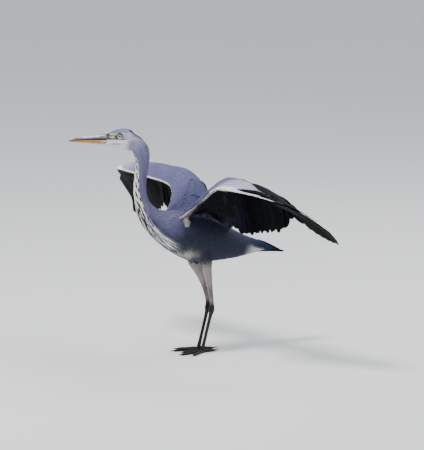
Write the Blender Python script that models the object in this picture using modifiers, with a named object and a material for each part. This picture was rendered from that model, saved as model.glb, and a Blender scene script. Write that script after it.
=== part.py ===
"""A grey heron at life size, standing with its wings half raised and their hands drooping.

The bird faces -Y, its left is +X, and the floor is z = 0. Metres throughout.
The soft body is one profile, lofted from the tail's end to the bill and parted by thin cuts.
Each wing is one arched surface between a leading edge, a ridge and the feather tips.
"""
import math

import bmesh
import bpy
from mathutils import Matrix, Vector

# ---------------------------------------------------------------- driving dimensions
GAP = 0.0003                 # clearance between neighbouring pieces
CUT_CLEARANCE = 0.0004       # how much larger a cutter is than the piece it stands for

# The body's profile, from the tail's end forward to the bill's base.
# Each station: (belly or throat: forward, height), (back or crown: forward, height), half width.
PROFILE = [
    ((-0.300, 0.2955), (-0.300, 0.3020), 0.0270),   # 0 tail end
    ((-0.281, 0.2985), (-0.279, 0.3140), 0.0285),
    ((-0.258, 0.3010), (-0.254, 0.3270), 0.0280),
    ((-0.236, 0.3025), (-0.230, 0.3370), 0.0270),
    ((-0.212, 0.3030), (-0.205, 0.3450), 0.0270),   # 4 tail coverts
    ((-0.160, 0.2945), (-0.160, 0.3620), 0.0380),
    ((-0.105, 0.2890), (-0.110, 0.3880), 0.0500),
    ((-0.045, 0.2860), (-0.055, 0.4200), 0.0590),
    ((0.005, 0.2860), (0.000, 0.4400), 0.0640),     # 8 belly over the feet
    ((0.055, 0.2970), (0.050, 0.4520), 0.0650),
    ((0.105, 0.3240), (0.095, 0.4570), 0.0620),
    ((0.150, 0.3570), (0.130, 0.4600), 0.0550),
    ((0.190, 0.3950), (0.147, 0.4640), 0.0460),     # 12 breast
    ((0.216, 0.4300), (0.162, 0.4700), 0.0370),
    ((0.230, 0.4580), (0.177, 0.4820), 0.0300),
    ((0.238, 0.4850), (0.190, 0.4970), 0.0255),
    ((0.243, 0.5110), (0.198, 0.5160), 0.0225),     # 16 neck
    ((0.245, 0.5370), (0.201, 0.5380), 0.0215),
    ((0.242, 0.5670), (0.1975, 0.5680), 0.0215),
    ((0.238, 0.5970), (0.192, 0.5980), 0.0220),
    ((0.236, 0.6200), (0.1885, 0.6240), 0.0225),    # 20 nape
    ((0.240, 0.6360), (0.187, 0.6500), 0.0230),
    ((0.2475, 0.6450), (0.192, 0.6750), 0.0235),
    ((0.257, 0.6520), (0.207, 0.6960), 0.0240),
    ((0.268, 0.6580), (0.228, 0.7115), 0.0240),     # 24 back of the head
    ((0.281, 0.6620), (0.254, 0.7235), 0.0225),
    ((0.296, 0.6650), (0.280, 0.7250), 0.0205),
    ((0.308, 0.6670), (0.300, 0.7205), 0.0165),
    ((0.316, 0.6680), (0.313, 0.7140), 0.0135),
    ((0.321, 0.6692), (0.321, 0.7095), 0.0115),     # 29 bill base
]
# name: first station, last station, rings, points around, how much narrower it is above its middle
BODY_PIECES = {
    "tail": (0.0, 4.0, 8, 16, 0.0),
    "trunk": (4.0, 12.5, 15, 24, 0.10),
    "neck_lower": (12.5, 15.2, 6, 20, 0.05),
    "neck_middle": (15.2, 17.9, 5, 18, 0.0),
    "neck_upper": (17.9, 20.6, 5, 18, 0.0),
    "head": (20.6, 29.0, 14, 18, 0.08),
}

# Stations: forward, lower height, upper height, half width.
UPPER_BILL = [
    (0.3215, 0.6900, 0.7088, 0.0110),
    (0.3500, 0.6915, 0.7058, 0.0093),
    (0.3800, 0.6916, 0.7034, 0.0070),
    (0.4050, 0.6908, 0.7010, 0.0050),
    (0.4250, 0.6898, 0.6963, 0.0032),
    (0.4380, 0.6888, 0.6920, 0.0017),
    (0.4455, 0.6880, 0.6889, 0.0005),
]
LOWER_BILL = [
    (0.3215, 0.6802, 0.6894, 0.0105),
    (0.3500, 0.6800, 0.6909, 0.0088),
    (0.3780, 0.6802, 0.6910, 0.0067),
    (0.4030, 0.6820, 0.6902, 0.0047),
    (0.4250, 0.6838, 0.6892, 0.0028),
    (0.4410, 0.6862, 0.6876, 0.0009),
]
CHIN = [                     # the feathered chin, which starts inside the head
    (0.3185, 0.6693, 0.6797, 0.0105),
    (0.3430, 0.6715, 0.6795, 0.0080),
    (0.3620, 0.6750, 0.6794, 0.0055),
    (0.3760, 0.6780, 0.6793, 0.0028),
]

EYE_RADIUS = 0.0085
EYE_FORWARD = 0.2845
EYE_HEIGHT = 0.7030
EYE_SIDE = 0.0122            # the eyeball's centre from the head's middle plane

HEAD_TURN = math.radians(24.0)     # the head looks to the bird's right
TURN_AXIS = 0.212                  # forward place of the neck's upright axis
TURN_START = 0.560                 # heights between which the neck twists
TURN_END = 0.645

# The left wing's sections: side, leading edge (back, height), ridge, feather tips.
WING = [
    (0.028, (-0.108, 0.408), (-0.015, 0.446), (0.078, 0.388)),
    (0.045, (-0.106, 0.430), (0.000, 0.476), (0.086, 0.384)),
    (0.070, (-0.066, 0.468), (0.016, 0.520), (0.098, 0.378)),
    (0.110, (-0.040, 0.513), (0.018, 0.550), (0.110, 0.380)),
    (0.150, (-0.052, 0.528), (0.004, 0.563), (0.108, 0.387)),
    (0.200, (-0.076, 0.538), (-0.004, 0.569), (0.100, 0.397)),
    (0.250, (-0.102, 0.549), (-0.006, 0.573), (0.092, 0.404)),
    (0.300, (-0.126, 0.557), (0.008, 0.564), (0.086, 0.413)),   # wrist
    (0.345, (-0.096, 0.553), (0.034, 0.546), (0.086, 0.422)),   # outermost secondary
    (0.366, (-0.077, 0.549), (0.041, 0.539), (0.098, 0.456)),   # innermost primary
    (0.385, (-0.060, 0.544), (0.048, 0.531), (0.122, 0.447)),
    (0.430, (-0.020, 0.530), (0.058, 0.509), (0.143, 0.422)),
    (0.475, (0.015, 0.508), (0.072, 0.491), (0.154, 0.406)),
    (0.520, (0.050, 0.476), (0.090, 0.468), (0.158, 0.399)),
    (0.560, (0.076, 0.449), (0.106, 0.444), (0.150, 0.400)),
    (0.590, (0.094, 0.425), (0.114, 0.422), (0.134, 0.406)),
    (0.618, (0.112, 0.402), (0.114, 0.401), (0.117, 0.400)),    # tip
]
SHOULDER_SIDES = (0.028, 0.045, 0.058, 0.072, 0.090)   # sections of the arm near the shoulder
ARM_SECTIONS = 13            # and how many follow them
WRIST = 0.300                # side places along the wing
HAND_END = 0.402             # where the flesh of the hand ends
FAN_SPLIT = 0.358            # notch between the secondaries and the primaries
FIRST_FLIGHT = 0.062         # innermost flight feather
WING_TIP = 0.618
RIGHT_TIP_DROP = 0.040       # the right hand hangs lower than the left one
RIGHT_TIP_PULL = 0.018       # and its tip reaches less far out
RIGHT_HAND_SWING = 0.020     # and the middle of the hand is held further forward
SECONDARY_COUNT = 16
PRIMARY_COUNT = 10
SHOULDER_REACH = 0.97        # chord share covered by the shoulder feathers beside the back
SCAPULAR_SIDE = 0.052        # the shoulder feathers reach this far out at full length
SCAPULAR_END = 0.110         # and have given way to the arm's coverts here
COVERT_REACH = 0.56          # share of the chord that the coverts take on the arm
HAND_COVERT_REACH = 0.36     # and at the end of the hand
ARM_THICKNESS = 0.0115       # half thickness of the arm at its thickest
HAND_THICKNESS = 0.0055
COVERT_EDGE = 0.0013         # half thickness at the coverts' rear edge
FEATHER_THICKNESS = 0.0014
FEATHER_CLEARANCE = 0.0016   # between coverts and flight feathers
SECONDARY_NOTCH = 0.045      # depth of the notches between feather tips, share of the chord
PRIMARY_NOTCH = 0.13

# Legs. Joint points (side, back, height) and radii of the left and the right one.
TIBIA = {
    "left": [((0.038, -0.014, 0.345), 0.0180), ((0.044, -0.006, 0.300), 0.0185),
             ((0.045, -0.003, 0.275), 0.0145), ((0.045, 0.003, 0.245), 0.0095),
             ((0.0445, 0.010, 0.200), 0.0068), ((0.044, 0.0145, 0.165), 0.0060),
             ((0.044, 0.0160, 0.1475), 0.0064)],
    "right": [((-0.036, -0.012, 0.345), 0.0180), ((-0.040, -0.004, 0.305), 0.0205),
              ((-0.040, 0.004, 0.277), 0.0180), ((-0.0365, 0.020, 0.245), 0.0120),
              ((-0.031, 0.034, 0.205), 0.0080), ((-0.0225, 0.0395, 0.165), 0.0060),
              ((-0.0185, 0.0400, 0.1460), 0.0064)],
}
ANKLE = {"left": (0.044, 0.016, 0.1405), "right": (-0.018, 0.040, 0.139)}
FOOT = {"left": (0.030, -0.010), "right": (-0.020, 0.007)}
FOOT_TURN = {"left": math.radians(8.0), "right": math.radians(-8.0)}
HEEL_RADIUS = 0.0078
TARSUS_RADIUS = 0.0044
HUB_HEIGHT = 0.0150          # where the tarsus meets the foot
HUB_RADIUS = 0.0068
TOE_RADIUS = 0.0050
TOE_END_RADIUS = 0.0034
TOE_HEIGHT = 0.0042          # height of a toe's axis, below its radius, so its sole is flat
# name: length, turn outward from the foot's forward line, toe pads, claw length
TOES = {
    "inner": (0.062, math.radians(-23.0), 3, 0.013),
    "middle": (0.084, 0.0, 4, 0.016),
    "outer": (0.070, math.radians(27.0), 4, 0.013),
    "hind": (0.046, math.radians(178.0), 2, 0.022),
}
CLAW_RADIUS = 0.0026
CLAW_GAP = 0.0009            # clears the toe's slanted end
CLAW_ARCH = 0.9              # how far a claw arches up, share of its length
CLAW_POINT_HEIGHT = 0.0012


# ---------------------------------------------------------------- small helpers
def clear_scene():
    for old in list(bpy.data.objects):
        bpy.data.objects.remove(old, do_unlink=True)


def new_collection(name):
    made = bpy.data.collections.new(name)
    bpy.context.scene.collection.children.link(made)
    return made


def new_material(name, colour, roughness, metallic=0.0):
    made = bpy.data.materials.new(name)
    made.use_nodes = True
    shader = made.node_tree.nodes["Principled BSDF"]
    shader.inputs["Base Color"].default_value = (*colour, 1.0)
    shader.inputs["Roughness"].default_value = roughness
    shader.inputs["Metallic"].default_value = metallic
    return made


def smooth_step(value, low, high):
    share = min(max((value - low) / (high - low), 0.0), 1.0)
    return share * share * (3.0 - 2.0 * share)


def spline(knots, values, place):
    """A smooth curve through the values at the knots, by cubic pieces with finite-difference slopes."""
    last = len(knots) - 1
    place = min(max(place, knots[0]), knots[last])
    index = 0
    while index < last - 1 and place > knots[index + 1]:
        index += 1

    def slope(at):
        before = max(at - 1, 0)
        after = min(at + 1, last)
        return (values[after] - values[before]) / (knots[after] - knots[before])

    width = knots[index + 1] - knots[index]
    share = (place - knots[index]) / width
    square = share * share
    cube = square * share
    return ((2 * cube - 3 * square + 1) * values[index]
            + (cube - 2 * square + share) * width * slope(index)
            + (3 * square - 2 * cube) * values[index + 1]
            + (cube - square) * width * slope(index + 1))


def ring(middle, half_up, half_side, count, narrowing):
    """Points round an egg-shaped section; half_up and half_side are vectors from its middle."""
    points = []
    for step in range(count):
        angle = 2.0 * math.pi * step / count
        up = math.sin(angle)
        side = math.cos(angle) * (1.0 - narrowing * up)
        points.append(middle + half_up * up + half_side * side)
    return points


def loft(name, rings, material, collection):
    """A closed body through rings of equal count, with flat ends."""
    shape = bmesh.new()
    loops = [[shape.verts.new(point) for point in points] for points in rings]
    for first, second in zip(loops, loops[1:]):
        for step in range(len(first)):
            after = (step + 1) % len(first)
            shape.faces.new((first[step], first[after], second[after], second[step]))
    shape.faces.new(loops[0])
    shape.faces.new(loops[-1])
    bmesh.ops.recalc_face_normals(shape, faces=shape.faces)
    return finish_mesh(name, shape, material, collection)


def finish_mesh(name, shape, material, collection):
    mesh = bpy.data.meshes.new(name)
    shape.to_mesh(mesh)
    shape.free()
    mesh.materials.append(material)
    mesh.shade_smooth()
    mesh.set_sharp_from_angle(angle=math.radians(45.0))
    made = bpy.data.objects.new(name, mesh)
    collection.objects.link(made)
    made.parent = ROOT
    return made


def as_cutter(cutter):
    cutter.hide_render = True
    cutter.display_type = "WIRE"
    return cutter


def cut(piece, cutter, operation="DIFFERENCE"):
    boolean = piece.modifiers.new(operation.lower(), "BOOLEAN")
    boolean.operation = operation
    boolean.solver = "EXACT"
    boolean.object = cutter


# ---------------------------------------------------------------- body, neck and head
def turned(point):
    """Twist the upper neck and the head about the neck's upright axis."""
    angle = -HEAD_TURN * smooth_step(point.z, TURN_START, TURN_END)
    axis = Vector((0.0, -TURN_AXIS, 0.0))
    return Matrix.Rotation(angle, 3, "Z") @ (point - axis) + axis


def profile_ring(station, count, narrowing, shift=0.0, swell=0.0):
    """The body's section at a station, moved along the body by shift and made larger by swell."""
    knots = list(range(len(PROFILE)))

    def read(column, part):
        values = [row[column][part] for row in PROFILE]
        return spline(knots, values, station)

    belly = Vector((0.0, -read(0, 0), read(0, 1)))
    back = Vector((0.0, -read(1, 0), read(1, 1)))
    half_width = spline(knots, [row[2] for row in PROFILE], station)
    half_up = (back - belly) / 2.0
    forward = half_up.cross(Vector((1.0, 0.0, 0.0))).normalized() * -1.0
    middle = (back + belly) / 2.0 + forward * shift
    half_up = half_up + half_up.normalized() * swell
    half_side = Vector((half_width + swell, 0.0, 0.0))
    return [turned(point) for point in ring(middle, half_up, half_side, count, narrowing)]


def make_body_piece(name, material):
    first, last, rings, count, narrowing = BODY_PIECES[name]
    sections = []
    for step in range(rings):
        share = step / (rings - 1)
        shift = 0.0
        if step == 0:
            shift = GAP / 2.0
        if step == rings - 1:
            shift = -GAP / 2.0
        sections.append(profile_ring(first + (last - first) * share, count, narrowing, shift))
    return loft(name, sections, material, PARTS)


def make_trunk_cutter():
    """The trunk and the foot of the neck, slightly enlarged, to cut what grows from them."""
    first, last, rings, count, narrowing = BODY_PIECES["trunk"]
    sections = []
    for step in range(rings):
        share = step / (rings - 1)
        station = first + (last - first) * share
        sections.append(profile_ring(station, count, narrowing, 0.0, CUT_CLEARANCE))
    return as_cutter(loft("trunk_cutter", sections, FEATHER_GREY, CUTTERS))


def beak_ring(station, count, narrowing):
    forward, low, high, half_width = station
    middle = Vector((0.0, -forward, (low + high) / 2.0))
    half_up = Vector((0.0, 0.0, (high - low) / 2.0))
    half_side = Vector((half_width, 0.0, 0.0))
    return [turned(point) for point in ring(middle, half_up, half_side, count, narrowing)]


def make_beak_piece(name, stations, steps, narrowing, material, collection):
    """One half of the bill, or the feathered chin under it."""
    knots = [row[0] for row in stations]
    count = 12
    sections = []
    for step in range(steps):
        place = knots[0] + (knots[-1] - knots[0]) * step / (steps - 1)
        row = [spline(knots, [station[column] for station in stations], place) for column in (1, 2, 3)]
        sections.append(beak_ring((place, *row), count, narrowing))
    return loft(name, sections, material, collection)


def eye_centre(side):
    return turned(Vector((side * EYE_SIDE, -EYE_FORWARD, EYE_HEIGHT)))


def make_ball(name, centre, radius, around, along, material, collection):
    shape = bmesh.new()
    bmesh.ops.create_uvsphere(shape, u_segments=around, v_segments=along, radius=radius)
    bmesh.ops.rotate(shape, verts=shape.verts, matrix=Matrix.Rotation(math.pi / 2.0, 3, "Y"))
    bmesh.ops.rotate(shape, verts=shape.verts, matrix=Matrix.Rotation(-HEAD_TURN, 3, "Z"))
    bmesh.ops.translate(shape, verts=shape.verts, vec=centre)
    return finish_mesh(name, shape, material, collection)


def make_head():
    head = make_body_piece("head", FEATHER_GREY)
    for label, side in (("left", 1.0), ("right", -1.0)):
        centre = eye_centre(side)
        make_ball("eye_" + label, centre, EYE_RADIUS, 14, 8, EYE_YELLOW, PARTS)
        socket = make_ball("socket_" + label, centre, EYE_RADIUS + CUT_CLEARANCE, 14, 8,
                           FEATHER_GREY, CUTTERS)
        cut(head, as_cutter(socket))
    chin = make_beak_piece("chin", CHIN, 5, -0.20, FEATHER_GREY, CUTTERS)
    cut(head, as_cutter(chin), "UNION")
    make_beak_piece("upper_bill", UPPER_BILL, 11, 0.35, BILL_DARK, PARTS)
    make_beak_piece("lower_bill", LOWER_BILL, 10, -0.30, BILL_YELLOW, PARTS)


# ---------------------------------------------------------------- wings
def section_line(line, side):
    """Back and height of a wing line (1 leading edge, 2 ridge, 3 tips) at a side place."""
    knots = [row[0] for row in WING]
    back = spline(knots, [row[line][0] for row in WING], side)
    height = spline(knots, [row[line][1] for row in WING], side)
    return Vector((0.0, back, height))


def wing_point(mirror, side, chord):
    """A point of the wing's surface: chord runs from 0 at the leading edge to 1 at the tips."""
    front, ridge, tips = (section_line(line, side) for line in (1, 2, 3))
    before = (ridge - front).length
    peak = before / (before + (tips - ridge).length)
    peak = min(max(peak, 0.2), 0.8)
    point = (front * ((chord - peak) * (chord - 1.0) / peak)
             + ridge * (chord * (chord - 1.0) / (peak * (peak - 1.0)))
             + tips * (chord * (chord - peak) / (1.0 - peak)))
    point.x = side
    if mirror < 0.0:
        out = max(side - WRIST, 0.0) / (WING_TIP - WRIST)
        point.y -= RIGHT_HAND_SWING * math.sin(math.pi * out)
        point.z -= RIGHT_TIP_DROP * out ** 1.5
        point.x = -(side - RIGHT_TIP_PULL * out)
    return point


def chord_normal(side, chord):
    """Unit normal of the wing's section, in its own upright plane."""
    step = 0.01
    along = wing_point(1.0, side, chord + step) - wing_point(1.0, side, chord - step)
    return Vector((0.0, -along.z, along.y)).normalized()


def covert_reach(side):
    """Chord share covered by the coverts: nearly all of it where the wing closes onto the back."""
    arm = COVERT_REACH + (HAND_COVERT_REACH - COVERT_REACH) * smooth_step(side, WRIST, HAND_END)
    return arm + (SHOULDER_REACH - COVERT_REACH) * (1.0 - smooth_step(side, SCAPULAR_SIDE, SCAPULAR_END))


def covert_thickness(side, share):
    """Half thickness of the arm: a blunt leading edge, thickest over the bones, thin behind."""
    thickest = ARM_THICKNESS + (HAND_THICKNESS - ARM_THICKNESS) * smooth_step(side, 0.06, HAND_END)
    swell = 2.25 * math.sqrt(share) * (1.0 - share) ** 1.6
    return thickest * swell + COVERT_EDGE * math.sqrt(share)


def covert_section(mirror, side, steps):
    reach = covert_reach(side)
    upper = []
    lower = []
    for step in range(1, steps + 1):
        share = (step / steps) ** 2.0
        middle = wing_point(mirror, side, reach * share)
        offset = chord_normal(side, reach * share) * covert_thickness(side, share)
        upper.append(middle + offset)
        lower.append(middle - offset)
    nose = wing_point(mirror, side, 0.0)
    return [nose] + upper + lower[::-1]


def covert_sides():
    """Side places of the arm's sections: close together at the shoulder, then evenly to the hand's end."""
    sides = list(SHOULDER_SIDES)
    even = HAND_END - sides[-1]
    for step in range(1, ARM_SECTIONS + 1):
        sides.append(SHOULDER_SIDES[-1] + even * step / ARM_SECTIONS)
    return sides


def make_wing_coverts(label, mirror, trunk_cutter):
    """The feathered arm and hand, from the shoulder to where the flight feathers show."""
    sections = [covert_section(mirror, side, 6) for side in covert_sides()]
    coverts = loft("wing_" + label, sections, FEATHER_GREY, PARTS)
    cut(coverts, trunk_cutter)


def make_flight_sheet(name, mirror, inner, outer, count, notch, columns, rows):
    """A row of overlapping flight feathers as one thin sheet with a notched trailing edge."""
    shape = bmesh.new()
    grid = []
    sides = [inner + (outer - inner) * step / (count * columns) for step in range(count * columns + 1)]
    if inner < HAND_END < outer:
        sides = [side for side in sides if abs(side - HAND_END) > FEATHER_CLEARANCE * 3.0]
        sides += [HAND_END + FEATHER_CLEARANCE, HAND_END + FEATHER_CLEARANCE * 2.0]
    for side in sorted(sides):
        feather = (side - inner) / (outer - inner) * count
        from_centre = abs(2.0 * (feather % 1.0) - 1.0)
        length = 1.0 - notch * from_centre ** 2.0
        first, shift = behind_coverts(mirror, side)
        line = []
        for row in range(rows + 1):
            chord = first + (length - first) * row / rows
            point = wing_point(mirror, side, chord) + shift * (1.0 - row / rows) ** 2.0
            line.append(shape.verts.new(point))
        grid.append(line)
    for left, right in zip(grid, grid[1:]):
        for row in range(rows):
            shape.faces.new((left[row], right[row], right[row + 1], left[row + 1]))
    bmesh.ops.recalc_face_normals(shape, faces=shape.faces)
    sheet = finish_mesh(name, shape, FEATHER_BLACK, PARTS)
    thicken = sheet.modifiers.new("thickness", "SOLIDIFY")
    thicken.thickness = FEATHER_THICKNESS
    thicken.offset = 0.0
    return sheet


def behind_coverts(mirror, side):
    """Where a flight feather comes out from under the coverts.

    Gives the chord share, and the small shift that brings that point of the curved wing onto the
    straight facet between the two neighbouring covert sections.
    """
    if side > HAND_END + FEATHER_CLEARANCE * 1.5:
        return 0.0, Vector((0.0, 0.0, 0.0))
    sides = covert_sides()
    index = 0
    while index < len(sides) - 2 and side > sides[index + 1]:
        index += 1
    inner, outer = sides[index], sides[index + 1]
    share = (side - inner) / (outer - inner)
    reach = covert_reach(inner) * (1.0 - share) + covert_reach(outer) * share
    facet = wing_point(mirror, inner, covert_reach(inner)) * (1.0 - share)
    facet += wing_point(mirror, outer, covert_reach(outer)) * share
    shift = facet - wing_point(mirror, side, reach)
    chord_length = (wing_point(1.0, side, 1.0) - wing_point(1.0, side, 0.0)).length
    return reach + FEATHER_CLEARANCE / chord_length, shift


def make_wing(label, mirror, trunk_cutter):
    make_wing_coverts(label, mirror, trunk_cutter)
    make_flight_sheet("secondaries_" + label, mirror, FIRST_FLIGHT, FAN_SPLIT - FEATHER_CLEARANCE,
                      SECONDARY_COUNT, SECONDARY_NOTCH, 2, 4)
    make_flight_sheet("primaries_" + label, mirror, FAN_SPLIT, WING_TIP,
                      PRIMARY_COUNT, PRIMARY_NOTCH, 3, 3)


# ---------------------------------------------------------------- legs and feet
def tube_rings(points, radii, count, floor=None, start_along=None):
    """Rings square to a path; where a floor is given, they are flattened on it."""
    rings = []
    last = len(points) - 1
    side_guess = Vector((1.0, 0.0, 0.0))
    for index, point in enumerate(points):
        along = (points[min(index + 1, last)] - points[max(index - 1, 0)]).normalized()
        if index == 0 and start_along is not None:
            along = start_along
        side_guess = (side_guess - along * side_guess.dot(along)).normalized()
        half_side = side_guess * radii[index]
        half_up = along.cross(side_guess) * radii[index]
        section = ring(point, half_up, half_side, count, 0.0)
        if floor is not None:
            section = [Vector((spot.x, spot.y, max(spot.z, floor))) for spot in section]
        rings.append(section)
    return rings


def smooth_path(points, radii, steps):
    """More points and radii along a path, by smooth curves through the given ones."""
    knots = list(range(len(points)))
    path = []
    sizes = []
    for step in range(steps):
        place = (len(points) - 1) * step / (steps - 1)
        path.append(Vector([spline(knots, [point[axis] for point in points], place) for axis in range(3)]))
        sizes.append(spline(knots, radii, place))
    return path, sizes


def tibia_path(label):
    points = [joint[0] for joint in TIBIA[label]]
    radii = [joint[1] for joint in TIBIA[label]]
    return smooth_path(points, radii, 10)


def make_tibia(label, trunk_cutter):
    path, sizes = tibia_path(label)
    tibia = loft("tibia_" + label, tube_rings(path, sizes, 12), FEATHER_BUFF, PARTS)
    cut(tibia, trunk_cutter)


def make_tarsus(label):
    """The bare lower leg, with the heel's knob at its top."""
    heel = Vector(ANKLE[label])
    foot = Vector((*FOOT[label], HUB_HEIGHT))
    axis = (foot - heel).normalized()
    above = tibia_path(label)[0]
    tibia_along = (above[-1] - above[-2]).normalized()
    top = above[-1] + tibia_along * GAP
    shares = (0.0, 0.06, 0.13, 0.35, 0.65, 0.90)
    radii = [0.0066, HEEL_RADIUS, 0.0058, TARSUS_RADIUS, TARSUS_RADIUS, 0.0050, 0.0060]
    span = (foot - heel).length
    points = [top]
    points += [heel + axis * span * share for share in shares[1:]]
    points += [foot]
    path, sizes = smooth_path(points, radii, 12)
    rings = tube_rings(path, sizes, 9, start_along=tibia_along)
    loft("tarsus_" + label, rings, LEG_DARK, PARTS)


def toe_path(label, length, turn):
    """A toe's axis along the floor, arching down from the hub, and its far end."""
    outward = 1.0 if label == "left" else -1.0
    heading = FOOT_TURN[label] + outward * turn
    ahead = Vector((math.sin(heading), -math.cos(heading), 0.0))
    hub = Vector((*FOOT[label], 0.0))
    heights = (TOE_HEIGHT * 1.35, TOE_HEIGHT * 1.25, TOE_HEIGHT, TOE_HEIGHT * 0.92, TOE_END_RADIUS * 0.86)
    points = []
    for index, height in enumerate(heights):
        points.append(hub + ahead * length * index / (len(heights) - 1) + Vector((0.0, 0.0, height)))
    return points, ahead


def make_toe(label, name, collection):
    length, turn, pads, claw_length = TOES[name]
    points, ahead = toe_path(label, length, turn)
    radii = [TOE_RADIUS, TOE_RADIUS, TOE_RADIUS * 0.92, TOE_RADIUS * 0.82, TOE_END_RADIUS]
    steps = 3 * pads + 1
    path, sizes = smooth_path(points, radii, steps)
    for step in range(steps):
        share = step / (steps - 1)
        sizes[step] *= 1.0 + 0.09 * math.cos(2.0 * math.pi * pads * share)
    toe = loft("toe_" + label + "_" + name, tube_rings(path, sizes, 8, floor=0.0), LEG_DARK, collection)
    return toe, path[-1], ahead, claw_length


def make_claw(label, name, start, ahead, length):
    """A curved claw, clear of the toe's end, whose point just misses the floor."""
    steps = 6
    points = []
    radii = []
    for step in range(steps):
        share = step / (steps - 1)
        rise = CLAW_ARCH * length * share * share * (1.0 - share)
        drop = (start.z - CLAW_POINT_HEIGHT) * share * share
        points.append(start + ahead * (CLAW_GAP + length * share) + Vector((0.0, 0.0, rise - drop)))
        radii.append(CLAW_RADIUS * (1.0 - share) ** 0.8 + 0.0003)
    loft("claw_" + label + "_" + name, tube_rings(points, radii, 6, floor=0.0006), CLAW_HORN, PARTS)


def make_foot(label):
    """Hub and toes joined into one foot, on flat soles, and its claws."""
    base = Vector((*FOOT[label], 0.0))
    heel = Vector(ANKLE[label])
    axis = (heel - Vector((*FOOT[label], HUB_HEIGHT))).normalized()
    hub_heights = (0.0, 0.0030, 0.0080, 0.0120)
    hub_radii = (0.0058, HUB_RADIUS, HUB_RADIUS, 0.0063)
    rings = []
    for height, radius in zip(hub_heights, hub_radii):
        middle = base + Vector((0.0, 0.0, height))
        rings.append(ring(middle, Vector((0.0, radius, 0.0)), Vector((radius, 0.0, 0.0)), 12, 0.0))
    top = base + Vector((0.0, 0.0, HUB_HEIGHT)) - axis * GAP
    rings.append(tube_rings([top - axis, top, top + axis], [0.006] * 3, 12)[1])
    rings[-1] = sorted_like(rings[-1], rings[-2])
    foot = loft("foot_" + label, rings, LEG_DARK, PARTS)
    for name in TOES:
        toe, end, ahead, claw_length = make_toe(label, name, CUTTERS)
        cut(foot, as_cutter(toe), "UNION")
        make_claw(label, name, end, ahead, claw_length)


def sorted_like(points, pattern):
    """The ring's points turned and, if need be, reversed, so that they lie over the pattern's."""
    best = None
    count = len(points)
    for order in (points, points[::-1]):
        for start in range(count):
            trial = [order[(start + step) % count] for step in range(count)]
            gap = sum((one - other).length for one, other in zip(trial, pattern))
            if best is None or gap < best[0]:
                best = (gap, trial)
    return best[1]


def stand_over_origin():
    """Shift the whole bird so that its box stands centred over the origin."""
    bpy.context.view_layer.update()
    state = bpy.context.evaluated_depsgraph_get()
    corners = []
    for piece in PARTS.objects:
        if piece.type == "MESH":
            corners += [vertex.co.copy() for vertex in piece.evaluated_get(state).data.vertices]
    for axis in (0, 1):
        places = [corner[axis] for corner in corners]
        ROOT.location[axis] = -0.5 * (min(places) + max(places))


# ---------------------------------------------------------------- assembly
clear_scene()
PARTS = new_collection("grey_heron")
CUTTERS = new_collection("cutters")
ROOT = bpy.data.objects.new("heron_root", None)
PARTS.objects.link(ROOT)

FEATHER_GREY = new_material("grey_feathers", (0.24, 0.25, 0.33), 0.75)
FEATHER_BLACK = new_material("flight_feathers", (0.02, 0.022, 0.03), 0.6)
FEATHER_BUFF = new_material("thigh_feathers", (0.38, 0.34, 0.31), 0.8)
BILL_DARK = new_material("upper_bill_horn", (0.16, 0.17, 0.20), 0.35)
BILL_YELLOW = new_material("lower_bill_horn", (0.62, 0.36, 0.08), 0.35)
EYE_YELLOW = new_material("eye", (0.75, 0.62, 0.12), 0.08)
LEG_DARK = new_material("leg_skin", (0.035, 0.033, 0.035), 0.5)
CLAW_HORN = new_material("claw_horn", (0.02, 0.018, 0.016), 0.4)

TRUNK_CUTTER = make_trunk_cutter()
make_body_piece("tail", FEATHER_GREY)
make_body_piece("trunk", FEATHER_GREY)
make_body_piece("neck_lower", FEATHER_GREY)
make_body_piece("neck_middle", FEATHER_GREY)
make_body_piece("neck_upper", FEATHER_GREY)
make_head()
for LABEL, MIRROR in (("left", 1.0), ("right", -1.0)):
    make_wing(LABEL, MIRROR, TRUNK_CUTTER)
    make_tibia(LABEL, TRUNK_CUTTER)
    make_tarsus(LABEL)
    make_foot(LABEL)
stand_over_origin()
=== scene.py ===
"""A grey heron at life size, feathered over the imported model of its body.

The layout is a Blender add-on that is run as a script. Lengths are in metres, the bird faces -Y
and its left is +X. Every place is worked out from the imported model's own pieces.
"""
import math

import bmesh
import bpy
import numpy as np
from mathutils import Matrix, Vector
from mathutils.bvhtree import BVHTree


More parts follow.
